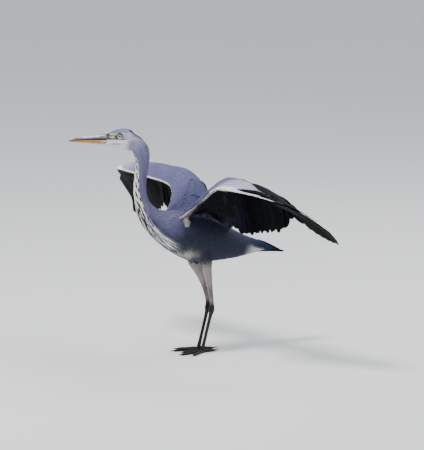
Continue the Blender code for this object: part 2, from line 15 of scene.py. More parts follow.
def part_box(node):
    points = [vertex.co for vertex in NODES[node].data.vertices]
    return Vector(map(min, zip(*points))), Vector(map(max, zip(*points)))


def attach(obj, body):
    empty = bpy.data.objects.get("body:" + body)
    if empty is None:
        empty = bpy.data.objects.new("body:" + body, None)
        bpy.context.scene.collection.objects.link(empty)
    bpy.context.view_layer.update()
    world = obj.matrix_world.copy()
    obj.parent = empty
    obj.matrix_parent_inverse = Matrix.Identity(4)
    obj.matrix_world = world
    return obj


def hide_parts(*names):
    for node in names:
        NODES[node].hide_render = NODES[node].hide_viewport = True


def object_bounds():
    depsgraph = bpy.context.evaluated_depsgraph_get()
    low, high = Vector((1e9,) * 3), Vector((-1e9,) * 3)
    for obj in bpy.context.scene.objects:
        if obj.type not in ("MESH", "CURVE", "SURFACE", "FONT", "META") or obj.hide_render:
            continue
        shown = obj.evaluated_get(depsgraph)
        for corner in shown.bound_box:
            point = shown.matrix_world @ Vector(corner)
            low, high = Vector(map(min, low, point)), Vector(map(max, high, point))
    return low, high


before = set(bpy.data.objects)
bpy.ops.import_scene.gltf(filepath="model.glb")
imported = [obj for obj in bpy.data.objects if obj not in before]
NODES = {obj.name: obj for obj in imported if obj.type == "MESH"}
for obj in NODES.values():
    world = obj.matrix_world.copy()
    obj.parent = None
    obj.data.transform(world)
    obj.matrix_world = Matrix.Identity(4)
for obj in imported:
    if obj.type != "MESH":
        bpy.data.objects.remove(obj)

bl_info = {
    "name": "Grey Heron",
    "version": (1, 0, 0),
    "blender": (4, 5, 0),
    "location": "3D View > Sidebar > Heron",
    "description": "Builds a feathered grey heron over its packed body",
    "category": "Object",
}

MODEL_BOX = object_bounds()
BODY_NODES = ("head", "neck_upper", "neck_middle", "neck_lower", "trunk", "tail")
SIDES = {"left": 1.0, "right": -1.0}
FLESH_NODES = BODY_NODES + ("wing_left", "wing_right", "tibia_left", "tibia_right")
HEAD, TRUNK, TAIL, THIGH = (FLESH_NODES.index(name) for name in ("head", "trunk", "tail", "tibia_left"))
TOES = ("inner", "middle", "outer", "hind")
PATCH = 0.0015  # half the width of one feather's place on the bake map


# ---- settings
def colour(name, description, value):
    """A colour property with its default."""
    return bpy.props.FloatVectorProperty(name=name, description=description, default=value,
                                         subtype="COLOR", size=3, min=0.0, max=1.0)


def length(name, description, value):
    """A length property with its default."""
    return bpy.props.FloatProperty(name=name, description=description, default=value,
                                   min=0.0, unit="LENGTH")


class HeronColours(bpy.types.PropertyGroup):
    """Colours of plumage, skin and horn."""

    neck: colour("Neck", "Blue-grey of the neck's sides and hind neck", (0.150, 0.147, 0.252))
    crown: colour("Crown", "Mottled grey of the crown", (0.266, 0.276, 0.470))
    cheek: colour("Cheek", "Pale grey of the cheek", (0.258, 0.264, 0.378))
    white: colour("White", "White of malar band, throat and wing edge", (0.860, 0.850, 0.840))
    black: colour("Black", "Black of spots and plumes", (0.007, 0.008, 0.011))
    mantle: colour("Mantle", "Blue-grey of back and shoulders", (0.078, 0.078, 0.168))
    coverts: colour("Coverts", "Paler blue-grey of the upper wing coverts", (0.118, 0.113, 0.236))
    # The belly colour is darker than the real plumage: it holds painted shade for the flank under the wings.
    belly: colour("Belly", "Dull grey of flank and belly", (0.022, 0.026, 0.048))
    # The underwing colour is near-black rather than the real mid-dark grey: painted shade for the wing's
    # underside.
    under: colour("Underwing", "Dark grey of the under wing coverts", (0.0026, 0.003, 0.0045))
    flight: colour("Flight feathers", "Blue-black of the flight feathers", (0.0011, 0.0013, 0.0028))
    tail: colour("Tail", "Blue-grey of the tail", (0.012, 0.019, 0.050))
    thigh: colour("Thigh", "Buff-grey of the thighs", (0.330, 0.290, 0.280))
    buff: colour("Buff", "Pinkish buff at the wing's bend and shoulder", (0.560, 0.400, 0.310))
    bare: colour("Bare shin", "Pinkish grey of the bare skin above the heel", (0.200, 0.165, 0.160))
    leg: colour("Leg", "Blackish brown of the lower leg and foot", (0.007, 0.0055, 0.006))
    lore: colour("Lore", "Yellow-green skin before the eye", (0.640, 0.600, 0.160))
    bill_top: colour("Upper bill", "Slate of the upper bill", (0.105, 0.120, 0.175))
    bill_low: colour("Lower bill", "Orange-yellow of the lower bill", (0.460, 0.200, 0.022))
    iris: colour("Iris", "Pale yellow iris", (0.720, 0.620, 0.190))
    claw: colour("Claw", "Dark horn of the claws", (0.018, 0.016, 0.015))


class HeronSizes(bpy.types.PropertyGroup):
    """Sizes of the plumage."""

    coat_depth: length("Coat depth", "How far the skin lies under the body's outline", 0.0030)
    wing_coat_depth: length("Wing coat depth", "The same on the wings", 0.0012)
    skin_voxel: length("Skin grid", "Size of the grid that joins the flesh into one skin", 0.0028)
    face_feather: length("Face feather", "Length of the smallest feathers", 0.0050)
    neck_feather: length("Neck feather", "Length of the neck's feathers", 0.0130)
    trunk_feather: length("Body feather", "Length of the feathers of flank and belly", 0.0300)
    mantle_feather: length("Mantle feather", "Length of the back's feathers", 0.0400)
    thigh_feather: length("Thigh feather", "Length of the thigh's feathers", 0.0150)
    plume: length("Breast plume", "Length of the longest breast plumes", 0.1080)
    vane_thickness: length("Vane thickness", "Thickness of a flight feather's vane", 0.0006)


def colours():
    """Every plumage colour as a row of three numbers, by name."""
    shades = bpy.context.scene.heron_colours
    return {name: np.array(getattr(shades, name)) for name in HeronColours.__annotations__}


def sizes():
    """The sizes that a user can change."""
    return bpy.context.scene.heron_sizes


# ---- numbers
def smooth_step(value, low, high):
    """0 up to the first limit, 1 past the second, with a soft rise between."""
    share = np.clip((value - low) / (high - low), 0.0, 1.0)
    return share * share * (3.0 - 2.0 * share)


def unit(vectors):
    """The vectors at length one."""
    return vectors / np.maximum(np.linalg.norm(vectors, axis=-1, keepdims=True), 1e-12)


def across(vectors, normals):
    """The vectors with their part along the normals taken out, at length one."""
    along = np.sum(vectors * normals, axis=-1, keepdims=True)
    return unit(vectors - along * normals)


def mix(first, second, share):
    """Tones between the first and the second, with a share for each point."""
    share = np.asarray(share)[..., None]
    return first * (1.0 - share) + second * share


def bump_at(value, centre, width):
    """A smooth hump of height 1 at the centre."""
    return np.exp(-((value - centre) / width) ** 2.0)


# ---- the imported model's shapes
def read_corners(mesh):
    """A mesh's corners as rows of three numbers."""
    places = np.empty(len(mesh.vertices) * 3)
    mesh.vertices.foreach_get("co", places)
    return places.reshape(-1, 3)


def mesh_triangles(mesh):
    """A mesh's triangles as rows of three corner numbers."""
    mesh.calc_loop_triangles()
    faces = np.empty(len(mesh.loop_triangles) * 3, dtype=int)
    mesh.loop_triangles.foreach_get("vertices", faces)
    return faces.reshape(-1, 3)


def node_mesh(*names):
    """Corners and triangles of some nodes together, and each triangle's node."""
    corners, triangles, owners = [], [], []
    start = 0
    for index, name in enumerate(names):
        mesh = NODES[name].data
        corners.append(read_corners(mesh))
        triangles.append(mesh_triangles(mesh) + start)
        owners.append(np.full(len(triangles[-1]), index))
        start += len(corners[-1])
    return np.concatenate(corners), np.concatenate(triangles), np.concatenate(owners)


def slice_points(names, axis, place):
    """Points where the nodes' surfaces cross the plane at a place along an axis."""
    corners, triangles, _ = node_mesh(*names)
    edges = np.concatenate((triangles[:, :2], triangles[:, 1:], triangles[:, ::2]))
    first, second = corners[edges[:, 0]], corners[edges[:, 1]]
    crossing = (first[:, axis] - place) * (second[:, axis] - place) < 0.0
    first, second = first[crossing], second[crossing]
    share = (place - first[:, axis]) / (second[:, axis] - first[:, axis])
    return first + (second - first) * share[:, None]


def slice_centre(names, axis, place):
    """Middle of the nodes' outline on a plane."""
    points = slice_points(names, axis, place)
    return (points.min(axis=0) + points.max(axis=0)) / 2.0


def node_box(name):
    """The low and high corner of a node's box."""
    low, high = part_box(name)
    return np.array(low), np.array(high)


def node_centre(name):
    """The middle of a node's box."""
    low, high = node_box(name)
    return (low + high) / 2.0


class Surface:
    """A triangle mesh that can be asked for its nearest points."""

    def __init__(self, corners, triangles):
        self.tree = BVHTree.FromPolygons(corners.tolist(), triangles.tolist())

    def nearest(self, points):
        """Nearest places, their outward normals and their faces."""
        places = np.empty_like(points)
        normals = np.empty_like(points)
        faces = np.empty(len(points), dtype=int)
        find = self.tree.find_nearest
        for index, point in enumerate(points.tolist()):
            places[index], normals[index], faces[index], _ = find(point)
        return places, normals, faces

    def hit(self, starts, directions, reach, fallback):
        """Where rays meet the surface, or the fallback points."""
        places = fallback.copy()
        cast = self.tree.ray_cast
        for index, (start, direction) in enumerate(zip(starts.tolist(), directions.tolist())):
            found = cast(start, direction, reach)[0]
            if found is not None:
                places[index] = found
        return places


# ---- head and body axes
EYE_LEFT = node_centre("eye_left")
EYE_RIGHT = node_centre("eye_right")
EYE_MIDDLE = (EYE_LEFT + EYE_RIGHT) / 2.0
EYE_BALL = (node_box("eye_left")[1] - node_box("eye_left")[0])[2] / 2.0
UP = np.array((0.0, 0.0, 1.0))
HEAD_SIDE = unit(EYE_LEFT - EYE_RIGHT)
HEAD_FORWARD = unit(np.cross(HEAD_SIDE, UP))
HEAD_TURN = math.atan2(-HEAD_SIDE[1], HEAD_SIDE[0])
BILL_NODES = ("upper_bill", "lower_bill")
BILL_BASE = float(((node_mesh(*BILL_NODES)[0] - EYE_MIDDLE) @ HEAD_FORWARD).min())
HORN_OVERLAP = 0.0035  # how far the skin runs on under the bill's horn
TWIST_LOW = node_box("neck_upper")[0][2]
TWIST_HIGH = node_box("neck_upper")[1][2] + 0.015
HEIGHT = MODEL_BOX[1][2]


def head_places(points):
    """Forward, sideways and upward distances from the point between the eyes."""
    away = points - EYE_MIDDLE
    return away @ HEAD_FORWARD, away @ HEAD_SIDE, away[..., 2]


def side_directions(heights):
    """The bird's own left at a height: the neck twists from the body's left to the head's."""
    turn = HEAD_TURN * smooth_step(heights, TWIST_LOW, TWIST_HIGH)
    return np.stack((np.cos(turn), -np.sin(turn), np.zeros_like(turn)), axis=-1)


def body_axis():
    """Points down the middle of head, neck, trunk and tail, evenly spaced."""
    knots = [EYE_MIDDLE + HEAD_FORWARD * 0.037 - UP * 0.013,
             EYE_MIDDLE - UP * 0.011,
             EYE_MIDDLE - HEAD_FORWARD * 0.036 - UP * 0.016]
    head_low = node_box("head")[0][2]
    knots.append(slice_centre(["head"], 2, head_low + 0.030))
    knots.append(slice_centre(["head"], 2, head_low + 0.006))
    for name in ("neck_upper", "neck_middle"):
        low, high = node_box(name)
        for share in (0.7, 0.25):
            knots.append(slice_centre([name], 2, low[2] + (high[2] - low[2]) * share))
    knots.append(node_centre("neck_lower") + np.array((0.0, 0.006, -0.006)))
    for name, shares in (("trunk", (0.16, 0.32, 0.5, 0.7, 0.9)), ("tail", (0.3, 0.9))):
        low, high = node_box(name)
        for share in shares:
            knots.append(slice_centre([name], 1, low[1] + (high[1] - low[1]) * share))
    knots = np.array(knots)
    knots[5:, 0] = node_centre("trunk")[0]
    for _ in range(3):
        finer = np.empty((len(knots) * 2 - 2, 3))
        finer[0::2] = knots[:-1] * 0.75 + knots[1:] * 0.25
        finer[1::2] = knots[:-1] * 0.25 + knots[1:] * 0.75
        knots = np.concatenate((knots[:1], finer, knots[-1:]))
    run = np.concatenate(((0.0,), np.cumsum(np.linalg.norm(np.diff(knots, axis=0), axis=1))))
    even = np.linspace(0.0, run[-1], 90)
    return np.stack([np.interp(even, run, knots[:, axis]) for axis in range(3)], axis=1), even


AXIS, AXIS_RUN = body_axis()
AXIS_ALONG = unit(np.gradient(AXIS, axis=0))
NECK_FOOT_RUN = AXIS_RUN[np.argmin(np.linalg.norm(AXIS - node_centre("neck_lower"), axis=1))]
TAIL_RUN = AXIS_RUN[np.argmin(np.abs(AXIS[:, 1] - node_box("tail")[0][1]))]


def axis_places(points):
    """Run from the bill's base along the axis, and angle round it: 0 below, plus on the left."""
    gaps = np.linalg.norm(points[:, None, :] - AXIS[None, :, :], axis=2)
    weights = np.exp(-((gaps - gaps.min(axis=1, keepdims=True)) / 0.006) ** 2.0)
    weights /= weights.sum(axis=1, keepdims=True)
    run = weights @ AXIS_RUN
    along = unit(weights @ AXIS_ALONG)
    away = points - weights @ AXIS
    side = across(side_directions(points[:, 2]), along)
    below = np.cross(along, side)
    angle = np.arctan2(np.sum(away * side, axis=1), np.sum(away * below, axis=1))
    return run, angle, along


# ---- wing surfaces
ARM_SLICES = 16
HAND_SLICES = 10
ARCH_ALLOWANCE = 1.12  # an arched chord is this much longer than the straight one


class Wing:
    """One wing's middle surface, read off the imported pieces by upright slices."""

    def __init__(self, label):
        self.mirror = SIDES[label]
        names = [kind + label for kind in ("wing_", "secondaries_", "primaries_")]
        self.surface = Surface(*node_mesh(*names)[:2])
        inner = node_box("secondaries_" + label)
        outer = node_box("primaries_" + label)
        flesh = node_box("wing_" + label)
        self.root = self.reach(flesh, 0) + 0.006
        self.first = self.reach(inner, 0)
        self.split = self.reach(outer, 0)
        self.hand = self.reach(flesh, 1)
        self.tip = self.reach(outer, 1)
        arm_step = (self.split - self.first) / ARM_SLICES
        hand_step = (self.tip - self.split) / HAND_SLICES
        places = [self.root, self.root + 0.012, self.root + 0.022]
        places += [self.first + arm_step * (count + 0.5) for count in range(1, ARM_SLICES)]
        places += [self.split + hand_step * (count + 0.5) for count in range(HAND_SLICES)]
        rows = [self.fit(names, place) for place in places]
        end = (rows[-1][0:2] + rows[-1][2:4]) / 2.0
        last = np.concatenate((end, end, np.zeros(3)))
        self.places = np.array(places + [self.tip])
        self.rows = np.array(rows + [last])

    def reach(self, box, end):
        """Distance from the middle plane of the box's inner (0) or outer (1) end."""
        ends = sorted((abs(box[0][0]), abs(box[1][0])))
        return ends[end]

    def fit(self, names, place):
        """Leading edge, feather tips and three numbers for the arch between them."""
        points = slice_points(names, 0, place * self.mirror)[:, 1:]
        lead = points[np.argmin(points[:, 0])]
        tips = points[np.argmin(points[:, 1] - 0.15 * points[:, 0])]
        chord = tips - lead
        size = np.linalg.norm(chord)
        lift = np.array((-chord[1], chord[0])) / size
        share = (points - lead) @ chord / size ** 2.0
        height = (points - lead) @ lift
        hump = share * (1.0 - share)
        terms = np.stack((hump, hump * share, hump * share ** 2.0), axis=1)
        arch = np.linalg.lstsq(terms, height, rcond=None)[0]
        return np.concatenate((lead, tips, arch))

    def point(self, side, share):
        """Points of the middle surface at distances from the body and shares of the chord."""
        side, share = np.broadcast_arrays(side, share)
        row = np.stack([np.interp(side, self.places, self.rows[:, k]) for k in range(7)], axis=-1)
        lead = row[..., 0:2]
        chord = row[..., 2:4] - lead
        size = np.maximum(np.linalg.norm(chord, axis=-1, keepdims=True), 1e-6)
        lift = np.stack((-chord[..., 1], chord[..., 0]), axis=-1) / size
        hump = share * (1.0 - share)
        height = hump * (row[..., 4] + row[..., 5] * share + row[..., 6] * share ** 2.0)
        flat = lead + chord * share[..., None] + lift * height[..., None]
        return np.concatenate(((side * self.mirror)[..., None], flat), axis=-1)

    def normal(self, side, share):
        """Unit normals, pointing up and back out of the wing's upper surface."""
        step = 0.004
        out = self.point(side + step, share) - self.point(side - step, share)
        back = self.point(side, share + 0.02) - self.point(side, share - 0.02)
        return unit(np.cross(out, back)) * self.mirror

    def chord(self, side):
        """Length of the chord at a distance from the body."""
        gap = self.point(side, 1.0) - self.point(side, 0.0)
        return np.linalg.norm(gap, axis=-1) * ARCH_ALLOWANCE

    def share_at(self, side, back):
        """Shares of the chord at distances along the surface from the leading edge."""
        shares = np.linspace(0.0, 1.0, 61) ** 1.6
        rows = self.point(side[:, None], shares[None, :])
        steps = np.linalg.norm(np.diff(rows, axis=1), axis=2)
        run = np.concatenate((np.zeros((len(side), 1)), np.cumsum(steps, axis=1)), axis=1)
        return np.array([np.interp(place, row, shares) for place, row in zip(back, run)])

    def on_face(self, side, share, face):
        """Places on the upper (1) or lower (-1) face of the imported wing."""
        middle = self.point(side, share)
        normal = self.normal(side, share) * face
        flat = middle.reshape(-1, 3)
        away = normal.reshape(-1, 3)
        near, _, _ = self.surface.nearest(flat + away * 0.004)
        found = self.surface.hit(flat + away * 0.020, -away, 0.024, near)
        return found.reshape(middle.shape), normal


WINGS = {label: Wing(label) for label in SIDES}


def wing_places(wing, points):
    """Distance out, share of the chord and face (1 upper, -1 lower) of points on a wing."""
    side = np.clip(points[:, 0] * wing.mirror, wing.root, wing.tip)
    lead = wing.point(side, 0.0)
    tips = wing.point(side, 1.0)
    chord = tips - lead
    size = np.maximum(np.sum(chord * chord, axis=1), 1e-9)
    share = np.clip(np.sum((points - lead) * chord, axis=1) / size, 0.0, 1.0)
    above = np.sum((points - wing.point(side, share)) * wing.normal(side, share), axis=1)
    return side, share, np.where(above > 0.0, 1.0, -1.0)


# ---- markings and painted shade shared by skin and coat
REAR_CHEEK_TONE = np.array((0.62, 0.62, 0.76))
NAPE_TONE = np.array((0.32, 0.31, 0.44))
UPPER_NECK_TONE = np.array((0.33, 0.32, 0.45))
CREAM_TONE = np.array((0.56, 0.54, 0.47))
WRIST_TONE = np.array((0.40, 0.40, 0.54))
LORE_SHADE = np.array((0.55, 0.62, 0.90))
BODY_FRINGE = np.array((0.10, 0.11, 0.16))
MANTLE_FRINGE = np.array((0.30, 0.31, 0.46))
COVERT_FRINGE = np.array((0.42, 0.43, 0.56))
UNDER_FRINGE = np.array((0.035, 0.037, 0.048))
# Colour of the painted highlight along the upper bill's side.
BILL_PAINTED_HIGHLIGHT = np.array((0.72, 0.77, 0.96))
UPPER_TIP_TONE = np.array((0.20, 0.16, 0.16))
LOWER_TIP_TONE = np.array((0.20, 0.16, 0.15))
PINK_HORN = np.array((0.60, 0.48, 0.40))
LID_TONE = np.array((0.026, 0.026, 0.030))
NECK_BEAT = 0.027  # the neck's black spots repeat after this run


def band_at(value, low, high, soft):
    """1 between two limits, falling off over a soft distance outside them."""
    return smooth_step(value, low - soft, low) * (1.0 - smooth_step(value, high, high + soft))


def head_tone(points, tones):
    """Tone of the head's plumage and of the bare skin before the eye."""
    forward, aside, up = head_places(points)
    rise = 0.10 * np.maximum(-forward, 0.0)
    crown = smooth_step(up, 0.0055 + rise, 0.0095 + rise)
    tone = mix(tones["cheek"], tones["crown"], crown)
    streaks = 0.5 + 0.5 * mottle(points * np.array((1.0, 1.0, 2.0)), 0.0045, 17)
    tone = mix(tone, tones["crown"] * 0.45, 0.55 * crown * np.clip(streaks, 0.0, 1.0))
    brow = bump_at(up, 0.0068 - 0.08 * forward, 0.0022) * band_at(forward, -0.010, 0.026, 0.010)
    tone = mix(tone, tones["white"] * 0.8, 0.85 * brow)
    mask = bump_at(up, -0.0010, 0.0065) * band_at(forward, -0.022, 0.010, 0.010)
    tone = mix(tone, tones["crown"] * 0.55, 0.55 * mask)
    rear = band_at(forward, -0.062, -0.020, 0.014) * band_at(up, -0.012, 0.004, 0.008)
    tone = mix(tone, REAR_CHEEK_TONE, 0.65 * rear)
    nape = smooth_step(-forward, 0.030, 0.056) * (1.0 - smooth_step(up, -0.018, -0.002))
    tone = mix(tone, NAPE_TONE, nape)
    above_nape = up - 0.0165 - 0.72 * (forward + 0.042)
    stripe = smooth_step(above_nape, -0.0125, -0.0090) * band_at(forward, -0.080, -0.034, 0.012)
    crest = bump_at(aside, 0.0, 0.013) * smooth_step(-forward, 0.028, 0.046) * smooth_step(up, -0.016, 0.000)
    tone = mix(tone, tones["black"], 0.95 * np.maximum(stripe, crest))
    malar = band_at(up, -0.0235 - rise, -0.0130, 0.0022)
    tone = mix(tone, tones["white"] * 1.12, malar * smooth_step(forward, -0.034, -0.014))
    gape = bump_at(up, -0.0108 + 0.045 * forward, 0.0018) * band_at(forward, -0.010, 0.045, 0.012)
    tone = mix(tone, tones["black"] * 4.0, 0.88 * gape)
    throat = 1.0 - smooth_step(up, -0.0262, -0.0236)
    throat = np.maximum(throat, smooth_step(forward, BILL_BASE + 0.002, BILL_BASE + 0.006) * (up < -0.016))
    tone = mix(tone, tones["white"], throat * smooth_step(forward, -0.034, -0.012))
    whisker = bump_at(up, -0.0262 + 0.05 * forward, 0.0013) * band_at(forward, 0.004, 0.020, 0.012)
    tone = mix(tone, tones["black"] * 9.0, 0.80 * whisker)
    rim = smooth_step(forward, BILL_BASE - 0.0055, BILL_BASE - 0.0025) * smooth_step(up, -0.0130, -0.0100)
    tone = mix(tone, tones["bill_top"] * 0.45, rim)
    lore = lore_mask(points)
    tone = mix(tone, tones["black"] * 3.5, lore)
    wander = 0.0009 * mottle(points, 0.004, 19)
    green = band_at(forward, 0.0200, 0.0330, 0.0050) * bump_at(up, -0.0042 + wander, 0.0030)
    tone = mix(tone, tones["lore"] * LORE_SHADE, 0.8 * lore * green)
    yellow = bump_at(forward, 0.0225, 0.0056) * bump_at(up, -0.0040 + wander, 0.0028)
    tone = mix(tone, tones["lore"] * 1.15, np.clip(1.5 * lore * yellow, 0.0, 1.0))
    crescent = bump_at(up, -0.0085, 0.0011) * band_at(forward, -0.005, 0.004, 0.003)
    return mix(tone, tones["white"], 0.9 * crescent)


def lore_mask(points):
    """Where the skin is bare: a wedge from the bill's base to the eye."""
    forward, aside, up = head_places(points)
    inside = band_at(up, -0.0072, 0.0004 + 0.02 * forward, 0.0008)
    inside = inside * band_at(forward, 0.0060, 0.0350, 0.0020)
    return inside * smooth_step(np.abs(aside), 0.002, 0.005)


def neck_tone(points, run, angle, tones):
    """Blue-grey neck with a white front and broken columns of black spots at its edges."""
    paler = smooth_step(points[:, 2], TWIST_LOW, TWIST_HIGH + 0.02)
    tone = mix(tones["neck"], tones["neck"] * 1.25, paler)
    tone = mix(tone, UPPER_NECK_TONE, 0.75 * (1.0 - smooth_step(run, 0.085, 0.125)))
    half = 0.52 + 0.45 * smooth_step(run, 0.12, NECK_FOOT_RUN)
    front = 1.0 - smooth_step(np.abs(angle), half, half + 0.12)
    tone = mix(tone, tones["white"], front)
    beat = run / NECK_BEAT + 0.22 * mottle(points, 0.040, 23)
    for side in (-1.0, 1.0):
        phase = (beat + 0.25 * side) % 1.0
        dash = smooth_step(phase, 0.02, 0.16) * (1.0 - smooth_step(phase, 0.60, 0.92))
        column = bump_at(angle, side * (0.30 * half + 0.36 * phase), 0.13)
        tone = mix(tone, tones["black"], dash * np.clip(1.6 * column, 0.0, 1.0))
        late = (phase + 0.5) % 1.0
        second = smooth_step(late, 0.10, 0.25) * (1.0 - smooth_step(late, 0.50, 0.70))
        outer = bump_at(angle, side * half * 0.98, 0.10) * smooth_step(run, 0.16, 0.22)
        tone = mix(tone, tones["black"], second * np.clip(1.4 * outer, 0.0, 1.0))
    throat = 1.0 - smooth_step(run, 0.092, 0.118)
    return mix(tone, tones["white"], throat * front)


def trunk_tone(points, run, angle, tones):
    """Grey back, flanks painted darker below the wings as their shade, pale breast, cream patches before the
    legs and under the tail.
    """
    round_body = np.abs(angle)
    # Painted shade: below the wings' level the flank takes the dark belly tone; the back and the body before
    # the shoulder stay lighter.
    back = smooth_step(round_body, 1.25, 1.95) * over_wings(points)
    back = np.maximum(back, smooth_step(round_body, 2.45, 2.85))
    before = 1.0 - smooth_step(run, SHOULDER_RUN - 0.055, SHOULDER_RUN + 0.025)
    above = smooth_step(round_body, 0.95, 1.60)
    back = np.maximum(back, before * (0.55 + 0.45 * above))
    tone = mix(tones["belly"], tones["mantle"], back)
    tone = mix(tone, tones["neck"], 0.75 * before * above)
    front = 1.0 - smooth_step(round_body, 0.80, 1.10)
    behind = run - NECK_FOOT_RUN
    breast = front * (1.0 - smooth_step(behind, 0.090, 0.130))
    tone = mix(tone, tones["white"] * 0.80, 0.65 * breast)
    patch = bump_at(behind, 0.158, 0.034) * bump_at(round_body, 0.42, 0.38)
    streaks = mottle(points * np.array((1.0, 0.6, 1.4)), 0.008, 29)
    patch = patch * np.clip(0.60 + 0.95 * streaks, 0.0, 1.0)
    tone = mix(tone, CREAM_TONE, 0.80 * patch)
    rear = smooth_step(run, TAIL_RUN - 0.070, TAIL_RUN - 0.020)
    rear = rear * (1.0 - smooth_step(round_body, 1.30, 1.85))
    tone = mix(tone, tones["white"] * 0.70, 0.8 * rear)
    for wing in WINGS.values():
        spot = wing.point(wing.root, 0.0) + (0.0, 0.003, -0.019)
        gap = np.linalg.norm((points - spot) * (0.6, 1.1, 0.62), axis=1)
        shoulder = 1.0 - smooth_step(gap, 0.010, 0.018)
        shoulder = shoulder * (1.0 - smooth_step(points[:, 2] - spot[2], 0.014, 0.020))
        tone = mix(tone, mix(tones["white"], tones["buff"], 0.4), shoulder)
    return tone


def over_wings(points):
    """1 above the level where the wings leave the body, 0 below it, where the flank is painted in the wings'
    shade.
    """
    over = np.zeros(len(points))
    for wing in WINGS.values():
        root = wing.point(np.full(9, wing.root + 0.004), np.linspace(0.0, 1.0, 9))
        level = np.interp(points[:, 1], root[:, 1], root[:, 2])
        same_side = (points[:, 0] - AXIS[-1, 0]) * wing.mirror >= 0.0
        over = np.where(same_side, smooth_step(points[:, 2] - level, 0.000, 0.010), over)
    return over


def shoulder_run():
    """Run of the left wing's front root along the body's axis."""
    wing = WINGS["left"]
    return axis_places(wing.point(wing.root, 0.0)[None])[0][0]


SHOULDER_RUN = shoulder_run()
WRIST_FROM_SPLIT = 0.045  # the wing's bend lies this far inside the first primary


def wing_tone(wing, points, tones):
    """Grey wing with a white leading edge, buff at the shoulder and an underside painted near-black as
    shade.
    """
    side, _, face = wing_places(wing, points)
    back = np.linalg.norm(points - wing.point(side, 0.0), axis=1)
    on_top = face > 0.0
    below = face < 0.0
    upper = upper_wing_tone(wing, side, back, tones)
    lower = lower_wing_tone(wing, side, back, tones)
    tone = mix(lower, upper, on_top.astype(float))
    bend = wing.split - WRIST_FROM_SPLIT
    at_root = 1.0 - smooth_step(side, wing.root + 0.020, wing.root + 0.045)
    broad = 0.0062 + 0.0024 * smooth_step(side, bend - 0.030, bend)
    broad += 0.0030 * band_at(side, wing.split + 0.010, wing.hand, 0.030) * on_top
    broad += 0.0140 * bump_at(side, bend + 0.010, 0.026) * on_top
    broad += (0.0040 + 0.0130 * below) * at_root
    edge = 1.0 - smooth_step(back, broad, broad * 1.25 + 0.0012)
    edge *= 1.0 - smooth_step(side, wing.hand + 0.030, wing.hand + 0.045)
    edge *= 1.0 - below * smooth_step(side, bend + 0.004, bend + 0.020)
    tone = mix(tone, tones["white"], edge)
    buff = edge * (1.0 - smooth_step(side, wing.root + 0.030, wing.root + 0.060))
    under_bend = edge * bump_at(side, bend, 0.020) * below
    tone = mix(tone, tones["buff"], 0.45 * np.maximum(buff, under_bend))
    strip = smooth_step(back, 0.0105, 0.0120) * (1.0 - smooth_step(back, 0.020, 0.024))
    strip *= smooth_step(side, bend + 0.040, bend + 0.050) * on_top
    return mix(tone, tones["flight"] * 2.5, strip)


def upper_wing_tone(wing, side, back, tones):
    """Grey coverts, paler at the wrist, and black where the flight feathers begin."""
    wrist = wing.split - WRIST_FROM_SPLIT
    tone = mix(tones["coverts"], tones["mantle"], 1.0 - smooth_step(side, 0.05, 0.12))
    tone = mix(tone, tones["mantle"], 0.55 * smooth_step(back, 0.05, 0.12))
    tone = mix(tone, WRIST_TONE, smooth_step(side, wrist - 0.090, wrist + 0.010))
    tip = smooth_step(side, wing.hand - 0.018, wing.hand + 0.004)
    tone = mix(tone, tones["flight"] * 2.0, tip)
    behind = smooth_step(back, 0.102, 0.112)
    behind = behind * smooth_step(side, wing.first + 0.060, wing.first + 0.080)
    hand = smooth_step(side, wing.split - 0.010, wing.split + 0.015)
    hand = hand * smooth_step(back, 0.055, 0.070)
    return mix(tone, tones["flight"] * 2.0, np.maximum(behind, hand))


def lower_wing_tone(wing, side, back, tones):
    """Underside painted near-black as the wing's shade, greyer near the shoulder's edge."""
    wrist = wing.split - WRIST_FROM_SPLIT
    near = 1.0 - smooth_step(back, 0.020, 0.065)
    near = near * (1.0 - smooth_step(side, wrist - 0.150, wrist - 0.060))
    # Painted shade: the near-black underwing tone stands in for the shade under the wing.
    tone = mix(tones["under"], tones["mantle"], 0.50 * near)
    at_body = 1.0 - smooth_step(side, 0.06, 0.13)
    return mix(tone, tones["mantle"] * 1.1, 0.55 * at_body * near)


def leg_tone(points, body, tones):
    """Buff thigh feathers above bare pinkish skin, taking the body's tone at the top."""
    heel = node_box("tibia_left")[0][2]
    top = node_box("tibia_left")[1][2]
    share = (points[:, 2] - heel) / (top - heel)
    tone = mix(tones["thigh"], body, smooth_step(share, 0.66, 0.88))
    return mix(tone, tones["bare"], 1.0 - smooth_step(share, 0.28, 0.42))


def on_wings(owners):
    """Each wing with the points that lie on it."""
    for label, wing in WINGS.items():
        chosen = owners == FLESH_NODES.index("wing_" + label)
        if chosen.any():
            yield wing, chosen


def plumage_tone(points, owners, tones):
    """Tone at points whose nearest flesh node is known by its number."""
    run, angle, _ = axis_places(points)
    neck = neck_tone(points, run, angle, tones)
    trunk = trunk_tone(points, run, angle, tones)
    face = head_tone(points, tones)
    lower = smooth_step(run, NECK_FOOT_RUN - 0.030, NECK_FOOT_RUN + 0.020)
    on_top = smooth_step(np.abs(angle), 1.2, 1.7)
    tail = smooth_step(run, TAIL_RUN - 0.045 * on_top, TAIL_RUN + 0.025 - 0.045 * on_top)
    under_tail = 0.7 * (1.0 - smooth_step(np.abs(angle), 0.9, 1.4))
    under_tail = under_tail * (1.0 - smooth_step(run, TAIL_RUN + 0.02, TAIL_RUN + 0.06))
    tail_tone = mix(tones["tail"], tones["white"] * 0.45, under_tail)
    tone = mix(mix(neck, trunk, lower), tail_tone, tail)
    forward, _, up = head_places(points)
    head_part = smooth_step(forward, -0.078, -0.062)
    head_part = head_part * smooth_step(up + 0.55 * forward, -0.072, -0.058)
    tone = mix(tone, face, head_part)
    for wing, chosen in on_wings(owners):
        tone[chosen] = wing_tone(wing, points[chosen], tones)
    thigh = owners >= THIGH
    tone[thigh] = leg_tone(points[thigh], trunk[thigh], tones)
    return tone


